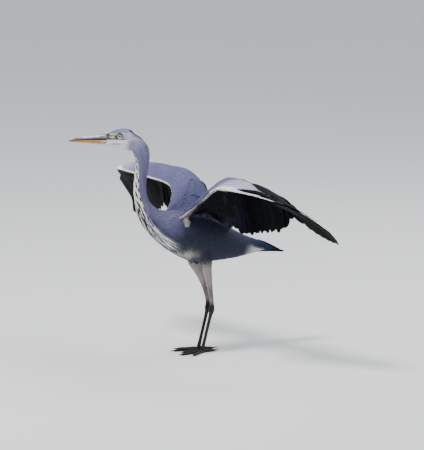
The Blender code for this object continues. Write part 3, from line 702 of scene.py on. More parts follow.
def mottle(points, scale, seed):
    """Smooth pseudo-random numbers from -1 to 1 that change over about the given distance."""
    picker = np.random.default_rng(seed)
    total = np.zeros(len(points))
    for _ in range(5):
        wave = picker.normal(size=3) * 2.2 / scale
        total += np.sin(points @ wave + picker.uniform(0.0, 6.28))
    return total / 5.0 * 1.4


# ---- lie of the plumage
def lie_of_plumage(points, owners):
    """Which way feathers point: bill to tail on the body, edge to tips on the wings, down on legs."""
    _, _, lie = axis_places(points)
    for wing, chosen in on_wings(owners):
        side, share, _ = wing_places(wing, points[chosen])
        lean = 0.10 + 1.2 * smooth_step(side, wing.split - 0.12, wing.hand)
        share = np.clip(share, 0.02, 0.93)
        ahead = wing.point(side + lean * 0.02, share + 0.06) - wing.point(side, share)
        lie[chosen] = unit(ahead)
    lie[owners >= THIGH] = (0.0, 0.10, -1.0)
    return lie


def follow(surface, roots, owners, lengths, steps, bed, lift, turn=None):
    """Paths of feathers that follow a surface, and the surface's normals along them."""
    points = roots.copy()
    paths = []
    normals = []
    for step in range(steps):
        places, around, _ = surface.nearest(points)
        heights = bed + lift * (step / (steps - 1)) ** 1.2
        paths.append(places + around * np.asarray(heights).reshape(-1, 1))
        normals.append(around)
        ahead = lie_of_plumage(places, owners)
        if turn is not None:
            ahead = ahead + np.cross(around, ahead) * turn[:, None]
        points = places + across(ahead, around) * (lengths / (steps - 1))[:, None]
    return np.stack(paths, axis=1), np.stack(normals, axis=1)


# ---- joined meshes of feathers
def mesh_from_grids(name, grid, tones, patches, columns_across):
    """One mesh of many sheets. grid is (sheets, rows, columns, 3); tones the same or per row."""
    sheets, rows, columns, _ = grid.shape
    mesh = bpy.data.meshes.new(name)
    count = sheets * rows * columns
    mesh.vertices.add(count)
    mesh.vertices.foreach_set("co", grid.astype(np.float32).ravel())
    base = (np.arange(sheets) * rows * columns)[:, None, None]
    corner = base + (np.arange(rows - 1) * columns)[None, :, None]
    corner = corner + np.arange(columns - 1)[None, None, :]
    quads = np.stack((corner, corner + columns, corner + columns + 1, corner + 1), axis=-1).reshape(-1, 4)
    mesh.loops.add(quads.size)
    mesh.loops.foreach_set("vertex_index", quads.astype(np.int32).ravel())
    mesh.polygons.add(len(quads))
    mesh.polygons.foreach_set("loop_start", np.arange(0, quads.size, 4, dtype=np.int32))
    mesh.update(calc_edges=True)
    shade = np.ones((sheets, rows, columns, 4), dtype=np.float32)
    shade[..., :3] = tones
    paint = mesh.color_attributes.new("tone", "FLOAT_COLOR", "POINT")
    paint.data.foreach_set("color", shade.ravel())
    local = np.empty((sheets, rows, columns, 2), dtype=np.float32)
    local[..., 0] = (columns_across[None, None, :] + 1.0) / 2.0
    local[..., 1] = np.linspace(0.0, 1.0, rows)[None, :, None]
    if patches.ndim == 3:
        baked = patches[:, None, None, 0, :] + local * patches[:, None, None, 1, :]
    else:
        baked = patches[:, None, None, :] + (local - 0.5) * 2.0 * PATCH
    for layer, places in (("vane", local), ("OFBake", baked)):
        loops = places.reshape(-1, 2)[quads.ravel()]
        mesh.uv_layers.new(name=layer).data.foreach_set("uv", loops.astype(np.float32).ravel())
    mesh.uv_layers["vane"].active_render = True
    mesh.shade_smooth()
    return mesh


def vanes(name, paths, normals, widths, outline, tones, patches, camber=0.10, columns=3,
          lean=0.0, fringe=None, ridge=0.0, soft=0.0):
    """Joined feathers along paths: outline is the share of the width at each row.

    A soft coat is shaded partly as the surface under it, so that its feathers melt together.
    """
    along = unit(np.gradient(paths, axis=1))
    sides = unit(np.cross(normals, along))
    above = np.cross(along, sides)
    places = np.linspace(-1.0, 1.0, columns)
    half = widths[:, None] * np.asarray(outline)[None, :] / 2.0
    lean = np.broadcast_to(lean, widths.shape)
    skew = 1.0 + places[None, :] * lean[:, None] * np.abs(places)[None, :]
    reach = half[:, :, None] * places[None, None, :] * skew[:, None, :]
    dip = -camber * half[:, :, None] * np.abs(places)[None, None, :] ** 2.0
    dip = dip + ridge * (np.abs(places) < 0.01)[None, None, :]
    grid = paths[:, :, None, :] + sides[:, :, None, :] * reach[..., None]
    grid = grid + above[:, :, None, :] * dip[..., None]
    rows = paths.shape[1]
    if tones.ndim == 2:
        tones = np.broadcast_to(tones[:, None, :], (len(tones), rows, 3))
    shade = np.broadcast_to(tones[:, :, None, :], grid.shape).copy()
    if fringe is not None:
        pale, amount = fringe
        rim = np.abs(places)[None, None, :] ** 3.0 * np.linspace(0.3, 1.0, rows)[None, :, None] ** 2.0
        rim = np.maximum(rim, (np.linspace(0.0, 1.0, rows) ** 8.0)[None, :, None])
        shade = mix(shade, pale, np.clip(rim * np.asarray(amount).reshape(-1, 1, 1), 0.0, 1.0))
    mesh = mesh_from_grids(name, grid, shade, patches, places)
    if soft > 0.0:
        under = np.broadcast_to(normals[:, :, None, :], grid.shape).reshape(-1, 3)
        blend = unit(read_normals(mesh) * (1.0 - soft) + under * soft)
        mesh.normals_split_custom_set_from_vertices(blend.tolist())
    return mesh


def body_patches(points):
    """Places on the bake map: round the body across, along it up."""
    run, angle, _ = axis_places(points)
    spread = np.stack((angle / (2.0 * math.pi) + 0.5, run / AXIS_RUN[-1]), axis=1)
    return fill_map(spread)


def wing_patches(wing, points):
    """Places on the bake map: out along the wing across, upper face over lower face up."""
    side, share, face = wing_places(wing, points)
    return fill_map(np.stack((side, share * 0.48 + 0.52 * (face > 0.0)), axis=1))


def fill_map(spread):
    """The places stretched over nearly the whole bake map."""
    low = spread.min(axis=0)
    high = spread.max(axis=0)
    return 0.01 + 0.98 * (spread - low) / np.maximum(high - low, 1e-6)


def cell_patches(count):
    """A cell of the bake map for each of a few large feathers: corner and size."""
    across_count = math.ceil(math.sqrt(count * 4.0))
    up_count = math.ceil(count / across_count)
    number = np.arange(count)
    size = np.array((0.98 / across_count, 0.98 / up_count))
    corner = np.stack((number % across_count, number // across_count), axis=1) * size + 0.01
    return np.stack((corner, np.broadcast_to(size * 0.9, corner.shape)), axis=1)


# ---- finishing pieces
def add_piece(name, mesh, material, replaces=()):
    """Puts a finished mesh in the scene as one piece of the bird."""
    piece = bpy.data.objects.new(name, mesh)
    bpy.context.scene.collection.objects.link(piece)
    mesh.materials.clear()
    mesh.materials.append(material)
    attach(piece, "root")
    if replaces:
        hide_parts(*replaces)
    return piece


def bmesh_to_mesh(name, shape):
    """A smooth mesh of a shape with its faces turned outwards."""
    bmesh.ops.recalc_face_normals(shape, faces=shape.faces)
    mesh = bpy.data.meshes.new(name)
    shape.to_mesh(mesh)
    shape.free()
    mesh.shade_smooth()
    return mesh


def write_corners(mesh, places):
    """Moves a mesh's corners to the places."""
    mesh.vertices.foreach_set("co", places.ravel())
    mesh.update()


def read_normals(mesh):
    """The normal at each corner of a mesh."""
    places = np.empty(len(mesh.vertices) * 3)
    mesh.vertex_normals.foreach_get("vector", places)
    return places.reshape(-1, 3)


def paint_tones(mesh, tones):
    """Stores a tone for each corner, held between 0 and 1."""
    shade = np.ones((len(mesh.vertices), 4), dtype=np.float32)
    shade[:, :3] = np.clip(tones, 0.0, 1.0)
    paint = mesh.color_attributes.new("tone", "FLOAT_COLOR", "POINT")
    paint.data.foreach_set("color", shade.ravel())


def node_shape(*names):
    """A bmesh of some nodes with their loose triangles joined."""
    shape = bmesh.new()
    for name in names:
        shape.from_mesh(NODES[name].data)
    bmesh.ops.remove_doubles(shape, verts=shape.verts, dist=0.00002)
    return shape


def soften(shape, rounds, factor=0.5):
    """Smooths a shape's corners a number of times."""
    for _ in range(rounds):
        bmesh.ops.smooth_vert(shape, verts=shape.verts, factor=factor,
                              use_axis_x=True, use_axis_y=True, use_axis_z=True)


def horn_shape(names, cuts, rounds, factor=0.5):
    """Some nodes' shape with its faces divided and smoothed."""
    shape = node_shape(*names)
    bmesh.ops.subdivide_edges(shape, edges=shape.edges, cuts=cuts, use_grid_fill=True)
    soften(shape, rounds, factor)
    return shape


# ---- node materials
def place_node(tree, kind, inputs=None, **settings):
    """A new node with its settings, and its sockets linked or set."""
    made = tree.nodes.new(kind)
    for key, value in settings.items():
        setattr(made, key, value)
    for key, value in (inputs or {}).items():
        if isinstance(value, bpy.types.NodeSocket):
            tree.links.new(value, made.inputs[key])
        else:
            made.inputs[key].default_value = value
    return made


def maths(tree, operation, first, second=0.0, third=0.0):
    """A sum on up to three numbers."""
    made = place_node(tree, "ShaderNodeMath", {0: first, 1: second, 2: third}, operation=operation)
    return made.outputs[0]


def grey_of(tree, value):
    """A grey of the given brightness."""
    made = place_node(tree, "ShaderNodeCombineXYZ", {0: value, 1: value, 2: value})
    return made.outputs[0]


def noise(tree, vector, scale, detail):
    """Cloudy noise from 0 to 1."""
    made = place_node(tree, "ShaderNodeTexNoise", {"Vector": vector, "Scale": scale, "Detail": detail})
    return made.outputs["Fac"]


def tinted(tree, tint, amount, first, second):
    """The two colours mixed by an amount, in the given way."""
    made = place_node(tree, "ShaderNodeMix", {0: amount, 6: first, 7: second}, data_type="RGBA",
                      blend_type=tint)
    return made.outputs[2]


def new_group(name, inputs, outputs):
    """An empty node group with named inputs (name, kind, default) and outputs (name, kind)."""
    group = bpy.data.node_groups.new(name, "ShaderNodeTree")
    for title, kind, value in inputs:
        socket = group.interface.new_socket(title, in_out="INPUT", socket_type="NodeSocket" + kind)
        if value is not None:
            socket.default_value = value
    for title, kind in outputs:
        group.interface.new_socket(title, in_out="OUTPUT", socket_type="NodeSocket" + kind)
    source = group.nodes.new("NodeGroupInput")
    target = group.nodes.new("NodeGroupOutput")
    return group, source.outputs, target


def vane_detail_group():
    """Barbs, shaft and slight unevenness of tone over a feather."""
    group, given, target = new_group(
        "vane_detail",
        (("Tone", "Color", (0.5, 0.5, 0.5, 1.0)), ("Vane", "Vector", None), ("Place", "Vector", None),
         ("Barbs", "Float", 30.0), ("Shaft", "Float", 0.2), ("Unevenness", "Float", 0.15)),
        (("Color", "Color"), ("Height", "Float"), ("Roughness", "Float")))
    parts = place_node(group, "ShaderNodeSeparateXYZ", {0: given["Vane"]}).outputs
    aside = maths(group, "ABSOLUTE", maths(group, "MULTIPLY_ADD", parts[0], 2.0, -1.0))
    slant = maths(group, "MULTIPLY_ADD", aside, -0.35, parts[1])
    turns = maths(group, "MULTIPLY", slant, given["Barbs"])
    wave = maths(group, "SINE", maths(group, "MULTIPLY", turns, 2.0 * math.pi))
    shaft = place_node(group, "ShaderNodeMapRange", {"Value": aside, "From Min": 0.0, "From Max": 0.13,
                                                     "To Min": 1.0, "To Max": 0.0}, clamp=True).outputs[0]
    patchy = noise(group, given["Place"], 260.0, 4.0)
    spread = maths(group, "MULTIPLY", maths(group, "SUBTRACT", patchy, 0.5), given["Unevenness"])
    ribbed = maths(group, "MULTIPLY_ADD", wave, 0.035, maths(group, "MULTIPLY_ADD", spread, 2.0, 1.0))
    shade = tinted(group, "MULTIPLY", 1.0, given["Tone"], grey_of(group, ribbed))
    strength = maths(group, "MULTIPLY", shaft, given["Shaft"])
    shade = tinted(group, "MIX", strength, shade, (0.10, 0.09, 0.085, 1.0))
    group.links.new(shade, target.inputs["Color"])
    height = maths(group, "MULTIPLY_ADD", wave, 0.30, shaft)
    group.links.new(height, target.inputs["Height"])
    group.links.new(maths(group, "MULTIPLY_ADD", patchy, 0.25, 0.50), target.inputs["Roughness"])
    return group


def skin_relief_group():
    """Fine pits and creases of bare skin or horn, as a height and a mask of darker spots."""
    group, given, target = new_group(
        "skin_relief",
        (("Place", "Vector", None), ("Scale", "Float", 900.0)),
        (("Height", "Float"), ("Spots", "Float")))
    cells = place_node(group, "ShaderNodeTexVoronoi", {"Vector": given["Place"], "Scale": given["Scale"]})
    fine = noise(group, given["Place"], maths(group, "MULTIPLY", given["Scale"], 0.35), 5.0)
    height = maths(group, "MULTIPLY_ADD", cells.outputs["Distance"], 0.6, fine)
    group.links.new(height, target.inputs["Height"])
    group.links.new(maths(group, "GREATER_THAN", fine, 0.58), target.inputs["Spots"])
    return group


def group_named(name, maker):
    """A node group, made the first time it is asked for."""
    return bpy.data.node_groups.get(name) or maker()


def new_material(name, roughness=0.5, coat=0.0, specular=0.5):
    """A node material, its tree and its shader, with the shader's finish set."""
    material = bpy.data.materials.new(name)
    material.use_nodes = True
    tree = material.node_tree
    shader = tree.nodes["Principled BSDF"]
    for title, value in (("Roughness", roughness), ("Coat Weight", coat), ("Coat Roughness", 0.06),
                         ("Specular IOR Level", specular)):
        shader.inputs[title].default_value = value
    return material, tree, shader


def bump_into(tree, shader, height, distance):
    """Lets a height move the shader's normal."""
    bump = place_node(tree, "ShaderNodeBump", {"Height": height, "Distance": distance, "Strength": 0.5})
    tree.links.new(bump.outputs["Normal"], shader.inputs["Normal"])


def object_place(tree):
    """Places on the piece, in metres."""
    return place_node(tree, "ShaderNodeTexCoord").outputs["Object"]


def feather_material(name, barbs, shaft, unevenness, relief):
    """Painted tone with barbs and shaft from the feather's own map."""
    material, tree, shader = new_material(name, specular=0.08)
    tone = place_node(tree, "ShaderNodeAttribute", attribute_name="tone").outputs["Color"]
    vane = place_node(tree, "ShaderNodeUVMap", uv_map="vane").outputs["UV"]
    given = {"Tone": tone, "Vane": vane, "Place": object_place(tree), "Barbs": barbs, "Shaft": shaft,
             "Unevenness": unevenness}
    group = group_named("vane_detail", vane_detail_group)
    detail = place_node(tree, "ShaderNodeGroup", given, node_tree=group)
    tree.links.new(detail.outputs["Color"], shader.inputs["Base Color"])
    tree.links.new(detail.outputs["Roughness"], shader.inputs["Roughness"])
    bump_into(tree, shader, detail.outputs["Height"], relief)
    return material


def skin_material(name, scale, relief, roughness=0.6, coat=0.0, spots=0.15, specular=0.4):
    """Painted tone with the relief of bare skin or horn."""
    material, tree, shader = new_material(name, roughness=roughness, coat=coat, specular=specular)
    tone = place_node(tree, "ShaderNodeAttribute", attribute_name="tone").outputs["Color"]
    given = {"Place": object_place(tree), "Scale": scale}
    group = group_named("skin_relief", skin_relief_group)
    detail = place_node(tree, "ShaderNodeGroup", given, node_tree=group)
    amount = maths(tree, "MULTIPLY", detail.outputs["Spots"], spots)
    shade = tinted(tree, "MULTIPLY", amount, tone, (0.45, 0.42, 0.40, 1.0))
    tree.links.new(shade, shader.inputs["Base Color"])
    bump_into(tree, shader, detail.outputs["Height"], relief)
    return material


def eye_material(name):
    """Wet eye: black pupil, yellow iris with faint flecks, dark rim."""
    material, tree, shader = new_material(name, roughness=0.10, coat=0.25, specular=0.15)
    ring = place_node(tree, "ShaderNodeAttribute", attribute_name="ring").outputs["Fac"]
    ramp = place_node(tree, "ShaderNodeValToRGB", {"Fac": ring})
    iris = tuple(colours()["iris"])
    inner = tuple(part * 0.55 for part in iris)
    outer = tuple(part * 0.35 for part in iris)
    black = (0.001, 0.001, 0.001)
    stops = ((0.0, black), (0.360, black), (0.385, inner), (0.450, iris),
             (0.720, iris), (0.780, outer), (0.830, black))
    while len(ramp.color_ramp.elements) < len(stops):
        ramp.color_ramp.elements.new(0.5)
    for element, (place, shade) in zip(ramp.color_ramp.elements, stops):
        element.position = place
        element.color = (*shade, 1.0)
    flecks = noise(tree, object_place(tree), 1400.0, 2.0)
    flecks = maths(tree, "MULTIPLY_ADD", flecks, 0.5, 0.75)
    shade = tinted(tree, "MULTIPLY", 1.0, ramp.outputs["Color"], grey_of(tree, flecks))
    tree.links.new(shade, shader.inputs["Base Color"])
    return material


def floor_material():
    """Pale matt floor, very slightly uneven."""
    material, tree, shader = new_material("pale_floor", roughness=0.9, specular=0.2)
    patchy = maths(tree, "MULTIPLY", noise(tree, object_place(tree), 2.0, 2.0), 0.1)
    shade = tinted(tree, "MIX", patchy, (0.82, 0.82, 0.81, 1.0), (0.78, 0.78, 0.77, 1.0))
    tree.links.new(shade, shader.inputs["Base Color"])
    return material


def material_named(name, maker, *given, **settings):
    """A material, made the first time it is asked for."""
    return bpy.data.materials.get(name) or maker(name, *given, **settings)


# Kinds of vane: barb waves along a feather, strength of the shaft, unevenness of tone, and relief.
VANE_KINDS = {
    "contour_vane": (9.0, 0.10, 0.35, 0.0003),
    "mantle_vane": (22.0, 0.22, 0.30, 0.0004),
    "under_vane": (22.0, 0.03, 0.30, 0.0004),
    "plume_vane": (40.0, 0.06, 0.25, 0.0003),
    "flight_vane": (90.0, 0.10, 0.30, 0.0005),
}


def vane_material(name):
    """The material of one kind of vane."""
    return material_named(name, feather_material, *VANE_KINDS[name])


# ---- skin
SKIN = {}
SWELL = 0.0016  # thin flesh is swelled by this before it is joined
EYE_OPENING = 0.0060  # radius of the opening between the lids


def gaze(side):
    """The way an eye looks: outwards, a little forward and down."""
    return unit(HEAD_SIDE * side + HEAD_FORWARD * 0.22 - UP * 0.06)


def cut_off(shape, place, outward):
    """Cuts a shape at a plane, throws away what lies beyond it and closes the cut."""
    everything = shape.verts[:] + shape.edges[:] + shape.faces[:]
    cut = bmesh.ops.bisect_plane(shape, geom=everything, dist=0.00001, plane_co=Vector(place),
                                 plane_no=Vector(outward), clear_outer=True)
    rim = [item for item in cut["geom_cut"] if isinstance(item, bmesh.types.BMEdge)]
    bmesh.ops.edgeloop_fill(shape, edges=rim)


def joined_flesh(names, swell, voxel, name, cuts=None):
    """One closed mesh round some nodes, each swelled first so that their gaps close.

    A node with a cut, which is a place and an outward direction, takes part only up to there.
    """
    shape = bmesh.new()
    for node in names:
        part = node_shape(node)
        if cuts and node in cuts:
            cut_off(part, *cuts[node])
        part.normal_update()
        for corner in part.verts:
            corner.co += corner.normal * swell
        held = bpy.data.meshes.new("held")
        part.to_mesh(held)
        part.free()
        shape.from_mesh(held)
        bpy.data.meshes.remove(held)
    rough = bpy.data.meshes.new(name + "_rough")
    shape.to_mesh(rough)
    shape.free()
    holder = bpy.data.objects.new(name + "_rough", rough)
    bpy.context.scene.collection.objects.link(holder)
    remesh = holder.modifiers.new("grid", "REMESH")
    remesh.mode = "VOXEL"
    remesh.voxel_size = voxel
    state = bpy.context.evaluated_depsgraph_get()
    mesh = bpy.data.meshes.new_from_object(holder.evaluated_get(state))
    mesh.name = name
    bpy.data.objects.remove(holder)
    bpy.data.meshes.remove(rough)
    return mesh


def smoothed(mesh, rounds):
    """Smooths a mesh where it is."""
    shape = bmesh.new()
    shape.from_mesh(mesh)
    soften(shape, rounds)
    shape.to_mesh(mesh)
    shape.free()
    mesh.update()


def sink(mesh, depths):
    """Moves the surface inwards, by less than half the flesh's thickness there."""
    corners = read_corners(mesh)
    normals = read_normals(mesh)
    tree = BVHTree.FromPolygons(corners.tolist(), mesh_triangles(mesh).tolist())
    room = np.full(len(corners), 0.05)
    starts = corners - normals * 0.0002
    for index, (start, normal) in enumerate(zip(starts.tolist(), normals.tolist())):
        away = tree.ray_cast(start, (-normal[0], -normal[1], -normal[2]), 0.05)[3]
        if away is not None:
            room[index] = away
    write_corners(mesh, corners - normals * np.minimum(depths, room * 0.41)[:, None])


def eye_lines(points):
    """For each eye: its gaze, and how far ahead along it and out from it the points lie."""
    for centre, side in ((EYE_LEFT, 1.0), (EYE_RIGHT, -1.0)):
        look = gaze(side)
        away = points - centre
        ahead = away @ look
        yield look, ahead, np.linalg.norm(away - ahead[:, None] * look, axis=1)


def open_eyes(places):
    """Sinks the skin over each eyeball, so that the eye shows between the lids."""
    for look, ahead, out in eye_lines(places):
        seat = np.sqrt(np.maximum(EYE_BALL ** 2.0 - out ** 2.0, 0.0)) - 0.0016
        chosen = (ahead > 0.0) & (out < EYE_OPENING) & (ahead < 0.03) & (ahead > seat)
        places[chosen] += look * (seat - ahead)[chosen][:, None]
    return places


def under_horn(points):
    """Which points ahead of the bill's base lie nearer to the bill's surface than to the head's."""
    gaps = []
    for names in (BILL_NODES, ("head",)):
        places, _, _ = Surface(*node_mesh(*names)[:2]).nearest(points)
        gaps.append(np.linalg.norm(places - points, axis=1))
    return (head_places(points)[0] > BILL_BASE - 0.0005) & (gaps[0] < gaps[1])


def coat_depths(corners, body):
    """How far under the body's outline the skin lies: least on the face, most at the nape."""
    depths = np.where(body, sizes().coat_depth, sizes().wing_coat_depth)
    forward, _, up = head_places(corners)
    face_part = smooth_step(forward, -0.060, -0.010) * smooth_step(up, -0.060, -0.035)
    face_depth = 0.0011 - 0.0008 * smooth_step(forward, BILL_BASE - 0.020, BILL_BASE - 0.004)
    in_horn = smooth_step(forward, BILL_BASE - 0.0005, BILL_BASE + HORN_OVERLAP)
    face_depth = face_depth + 0.0018 * under_horn(corners) * in_horn
    depths = np.where(body, depths * (1.0 - face_part) + face_depth * face_part, depths)
    _, angle, _ = axis_places(corners)
    nape = band_at(forward, -0.088, -0.050, 0.014) * band_at(up, -0.050, 0.010, 0.014)
    return depths + body * 0.0050 * nape * smooth_step(np.abs(angle), 1.7, 2.6)


def build_skin():
    """One skin over all the flesh, sunk under the coat, with the plumage's markings and its painted shade.
    """
    reach = EYE_MIDDLE + HEAD_FORWARD * (BILL_BASE + HORN_OVERLAP * 2.0)
    cuts = {node: (reach, HEAD_FORWARD) for node in BILL_NODES}
    mesh = joined_flesh(FLESH_NODES + BILL_NODES, SWELL, sizes().skin_voxel, "skin", cuts)
    smoothed(mesh, 3)
    corners = read_corners(mesh)
    flesh_corners, flesh_triangles, flesh_owners = node_mesh(*FLESH_NODES)
    _, _, faces = Surface(flesh_corners, flesh_triangles).nearest(corners)
    owners = flesh_owners[faces]
    sink(mesh, coat_depths(corners, owners < len(BODY_NODES)) + SWELL)
    smoothed(mesh, 2)
    corners = open_eyes(read_corners(mesh))
    write_corners(mesh, corners)
    uneven = 0.80 + 0.06 * mottle(corners, 0.006, 3)
    paint_tones(mesh, plumage_tone(corners, owners, colours()) * uneven[:, None])
    mesh.shade_smooth()
    triangles = mesh_triangles(mesh)
    SKIN["corners"] = corners
    SKIN["triangles"] = triangles
    SKIN["owners"] = owners[triangles[:, 0]]
    SKIN["surface"] = Surface(corners, triangles)
    middles = corners[triangles].mean(axis=1)
    run, angle, _ = axis_places(middles)
    SKIN["middles"] = (middles, SKIN["owners"], run, angle)
    material = material_named("plumage_skin", skin_material, 500.0, 0.0006, roughness=0.8)
    add_piece("skin", mesh, material, FLESH_NODES)


# ---- roots of the coat
def thin_out(points, spaces):
    """Numbers of the points kept so that none is nearer to another than its own space."""
    cell = float(spaces.max())
    keys = np.floor(points / cell).astype(int).tolist()
    held = {}
    kept = []
    around = [(x, y, z) for x in (-1, 0, 1) for y in (-1, 0, 1) for z in (-1, 0, 1)]
    rows = zip(keys, points.tolist(), spaces.tolist())
    for index, ((kx, ky, kz), (px, py, pz), space) in enumerate(rows):
        limit = space * space
        clear = True
        for dx, dy, dz in around:
            for qx, qy, qz in held.get((kx + dx, ky + dy, kz + dz), ()):
                if (px - qx) ** 2 + (py - qy) ** 2 + (pz - qz) ** 2 < limit:
                    clear = False
                    break
            if not clear:
                break
        if clear:
            held.setdefault((kx, ky, kz), []).append((px, py, pz))
            kept.append(index)
    return np.array(kept, dtype=int)


def scatter(chosen, space_at, seed):
    """Evenly spread places on the skin: chosen says which triangles, space_at how far apart."""
    picker = np.random.default_rng(seed)
    corners, triangles, owners = SKIN["corners"], SKIN["triangles"], SKIN["owners"]
    triangles = triangles[chosen]
    owners = owners[chosen]
    first, second, third = (corners[triangles[:, k]] for k in range(3))
    areas = np.linalg.norm(np.cross(second - first, third - first), axis=1) / 2.0
    spaces = space_at((first + second + third) / 3.0)
    weights = areas / spaces ** 2.0
    count = int(weights.sum() * 3.2)
    picks = picker.choice(len(weights), size=count, p=weights / weights.sum())
    share = np.sqrt(picker.random(count))[:, None]
    other = picker.random(count)[:, None]
    points = first[picks] * (1.0 - share) + second[picks] * share * (1.0 - other)
    points = points + third[picks] * share * other
    kept = thin_out(points, spaces[picks])
    return points[kept], owners[picks[kept]], picker


def skin_part(test):
    """Which skin triangles a test of their middles, nodes, runs and angles picks."""
    if not SKIN:
        raise RuntimeError("the skin comes before the coat")
    return test(*SKIN["middles"])


def is_face(points):
    """Head in front of the nape, where the smallest feathers are."""
    forward, _, up = head_places(points)
    return (forward > -0.056) & (up > -0.062 - 0.5 * forward) & (up > -0.055)


def eye_gap(points):
    """Distance from the nearer eye's middle line, for points on the same side as that eye."""
    return np.minimum(*(np.where(ahead > 0.0, out, 1.0) for _, ahead, out in eye_lines(points)))


COAT_SOFTNESS = 0.72  # how far a feather is shaded as the surface it lies on
# The space between the roots of neighbouring feathers.
NECK_SPACE = 0.0017
BODY_SPACE = 0.0036
MANTLE_SPACE = 0.0046
PLUME_SPACE = 0.0042
THIGH_SPACE = 0.0021
PLUME_WIDTH = 0.0052
TIP_SHAPES = {
    "round": (0.45, 0.85, 1.0, 0.97, 0.80, 0.18),
    "short": (0.55, 1.0, 0.90, 0.15),
    "lance": (0.50, 1.0, 0.95, 0.65, 0.10),
    "plume": (0.45, 0.80, 1.0, 1.0, 0.95, 0.86, 0.72, 0.52, 0.28, 0.04),
}


# ---- coat of head, neck, body and thighs
def coat_from_roots(name, roots, owners, picker, lengths, widths, shape, lift, **more):
    """One joined coat piece from feather roots: laid along the skin and toned by the markings and painted
    shade.
    """
    outline = TIP_SHAPES[shape]
    turn = picker.normal(0.0, more.pop("stray", 0.10), len(roots))
    lengths = lengths * picker.uniform(0.85, 1.12, len(roots))
    lifts = lift * picker.uniform(0.75, 1.2, len(roots))
    paths, normals = follow(SKIN["surface"], roots, owners, lengths, len(outline), 0.00025, lifts, turn)
    rows = len(outline)
    middle = paths[:, rows // 2]
    shade = plumage_tone(paths.reshape(-1, 3), np.repeat(owners, rows), colours())
    shade = shade.reshape(paths.shape)
    uneven = 1.0 + 0.10 * mottle(middle, 0.012, 5) + picker.normal(0.0, 0.05, len(roots))
    shade = shade * uneven[:, None, None]
    repaint = more.pop("repaint", None)
    if repaint is not None:
        shade = repaint(shade, picker)
    more.setdefault("soft", COAT_SOFTNESS)
    shade = np.clip(shade, 0.0, 1.0)
    return vanes(name, paths, normals, widths, outline, shade, body_patches(roots), **more)


def evenly(space):
    """The same space between feathers everywhere."""
    return lambda points: np.full(len(points), space)


def build_face():
    """The head's short feathers, which leave the lore, the lids and the bill's base bare."""
    chosen = skin_part(lambda middle, owner, run, angle: (owner == HEAD) & is_face(middle))

    def spaces(points):
        forward, _, _ = head_places(points)
        return 0.00120 + 0.00060 * smooth_step(-forward, 0.0, 0.05)

    roots, owners, picker = scatter(chosen, spaces, 11)
    keep = (eye_gap(roots) > EYE_OPENING + 0.0010) & (lore_mask(roots) < 0.5)
    keep &= ~under_horn(roots)
    roots, owners = roots[keep], owners[keep]
    forward, _, up = head_places(roots)
    grow = 0.55 + 0.75 * smooth_step(-forward, -0.030, 0.050) + 0.25 * smooth_step(up, 0.0, 0.02)
    lengths = sizes().face_feather * grow
    near_eye = smooth_step(eye_gap(roots), EYE_OPENING, EYE_OPENING + 0.010)
    lengths = lengths * (0.45 + 0.55 * near_eye)
    mesh = coat_from_roots("face_feathers", roots, owners, picker, lengths, lengths * 0.38, "short",
                           0.0008, camber=0.15, soft=0.8)
    add_piece("face_feathers", mesh, vane_material("contour_vane"))


def build_neck():
    """Narrow feathers that lengthen down the neck."""
    last = NECK_FOOT_RUN + 0.020

    def on_neck(middle, owner, run, angle):
        return (owner <= TRUNK) & ~is_face(middle) & (run < last)

    roots, owners, picker = scatter(skin_part(on_neck), evenly(NECK_SPACE), 12)
    run, _, _ = axis_places(roots)
    lengths = sizes().neck_feather * (0.70 + 0.75 * smooth_step(run, 0.10, last))
    mesh = coat_from_roots("neck_feathers", roots, owners, picker, lengths, 0.0020 + 0.08 * lengths,
                           "lance", 0.0016, camber=0.2, stray=0.10, soft=0.8)
    add_piece("neck_feathers", mesh, vane_material("contour_vane"))


def before_tail(roots, owners, last):
    """The roots up to a run, with their nodes and runs."""
    run, _, _ = axis_places(roots)
    kept = run < last
    return roots[kept], owners[kept], run[kept]


def build_body():
    """Broad feathers of breast, flank and belly."""
    first = NECK_FOOT_RUN - 0.005

    def belly_side(middle, owner, run, angle):
        return (owner <= TAIL) & (run > first) & (np.abs(angle) < 1.75)

    roots, owners, picker = scatter(skin_part(belly_side), evenly(BODY_SPACE), 13)
    roots, owners, run = before_tail(roots, owners, TAIL_RUN + 0.015)
    grow = 0.55 + 0.45 * smooth_step(run, first, first + 0.10)
    grow = grow + 0.25 * smooth_step(run, TAIL_RUN - 0.10, TAIL_RUN)
    lengths = sizes().trunk_feather * grow
    mesh = coat_from_roots("body_feathers", roots, owners, picker, lengths, lengths * 0.32, "round",
                           0.0030, camber=0.16, columns=5, fringe=(BODY_FRINGE, 0.06))
    add_piece("body_feathers", mesh, vane_material("mantle_vane"))


def build_mantle():
    """Longer pale-edged feathers over the back and the shoulders."""
    first = NECK_FOOT_RUN - 0.005

    def back_side(middle, owner, run, angle):
        return (owner <= TAIL) & (run > first) & (np.abs(angle) > 1.6)

    roots, owners, picker = scatter(skin_part(back_side), evenly(MANTLE_SPACE), 14)
    roots, owners, run = before_tail(roots, owners, TAIL_RUN - 0.005)
    lengths = sizes().mantle_feather * (0.60 + 0.45 * smooth_step(run, first, first + 0.12))
    fringe = (MANTLE_FRINGE, 0.02 + 0.10 * over_wings(roots))
    mesh = coat_from_roots("mantle_feathers", roots, owners, picker, lengths, lengths * 0.34, "round",
                           0.0034, camber=0.16, columns=5, fringe=fringe)
    add_piece("mantle_feathers", mesh, vane_material("mantle_vane"))


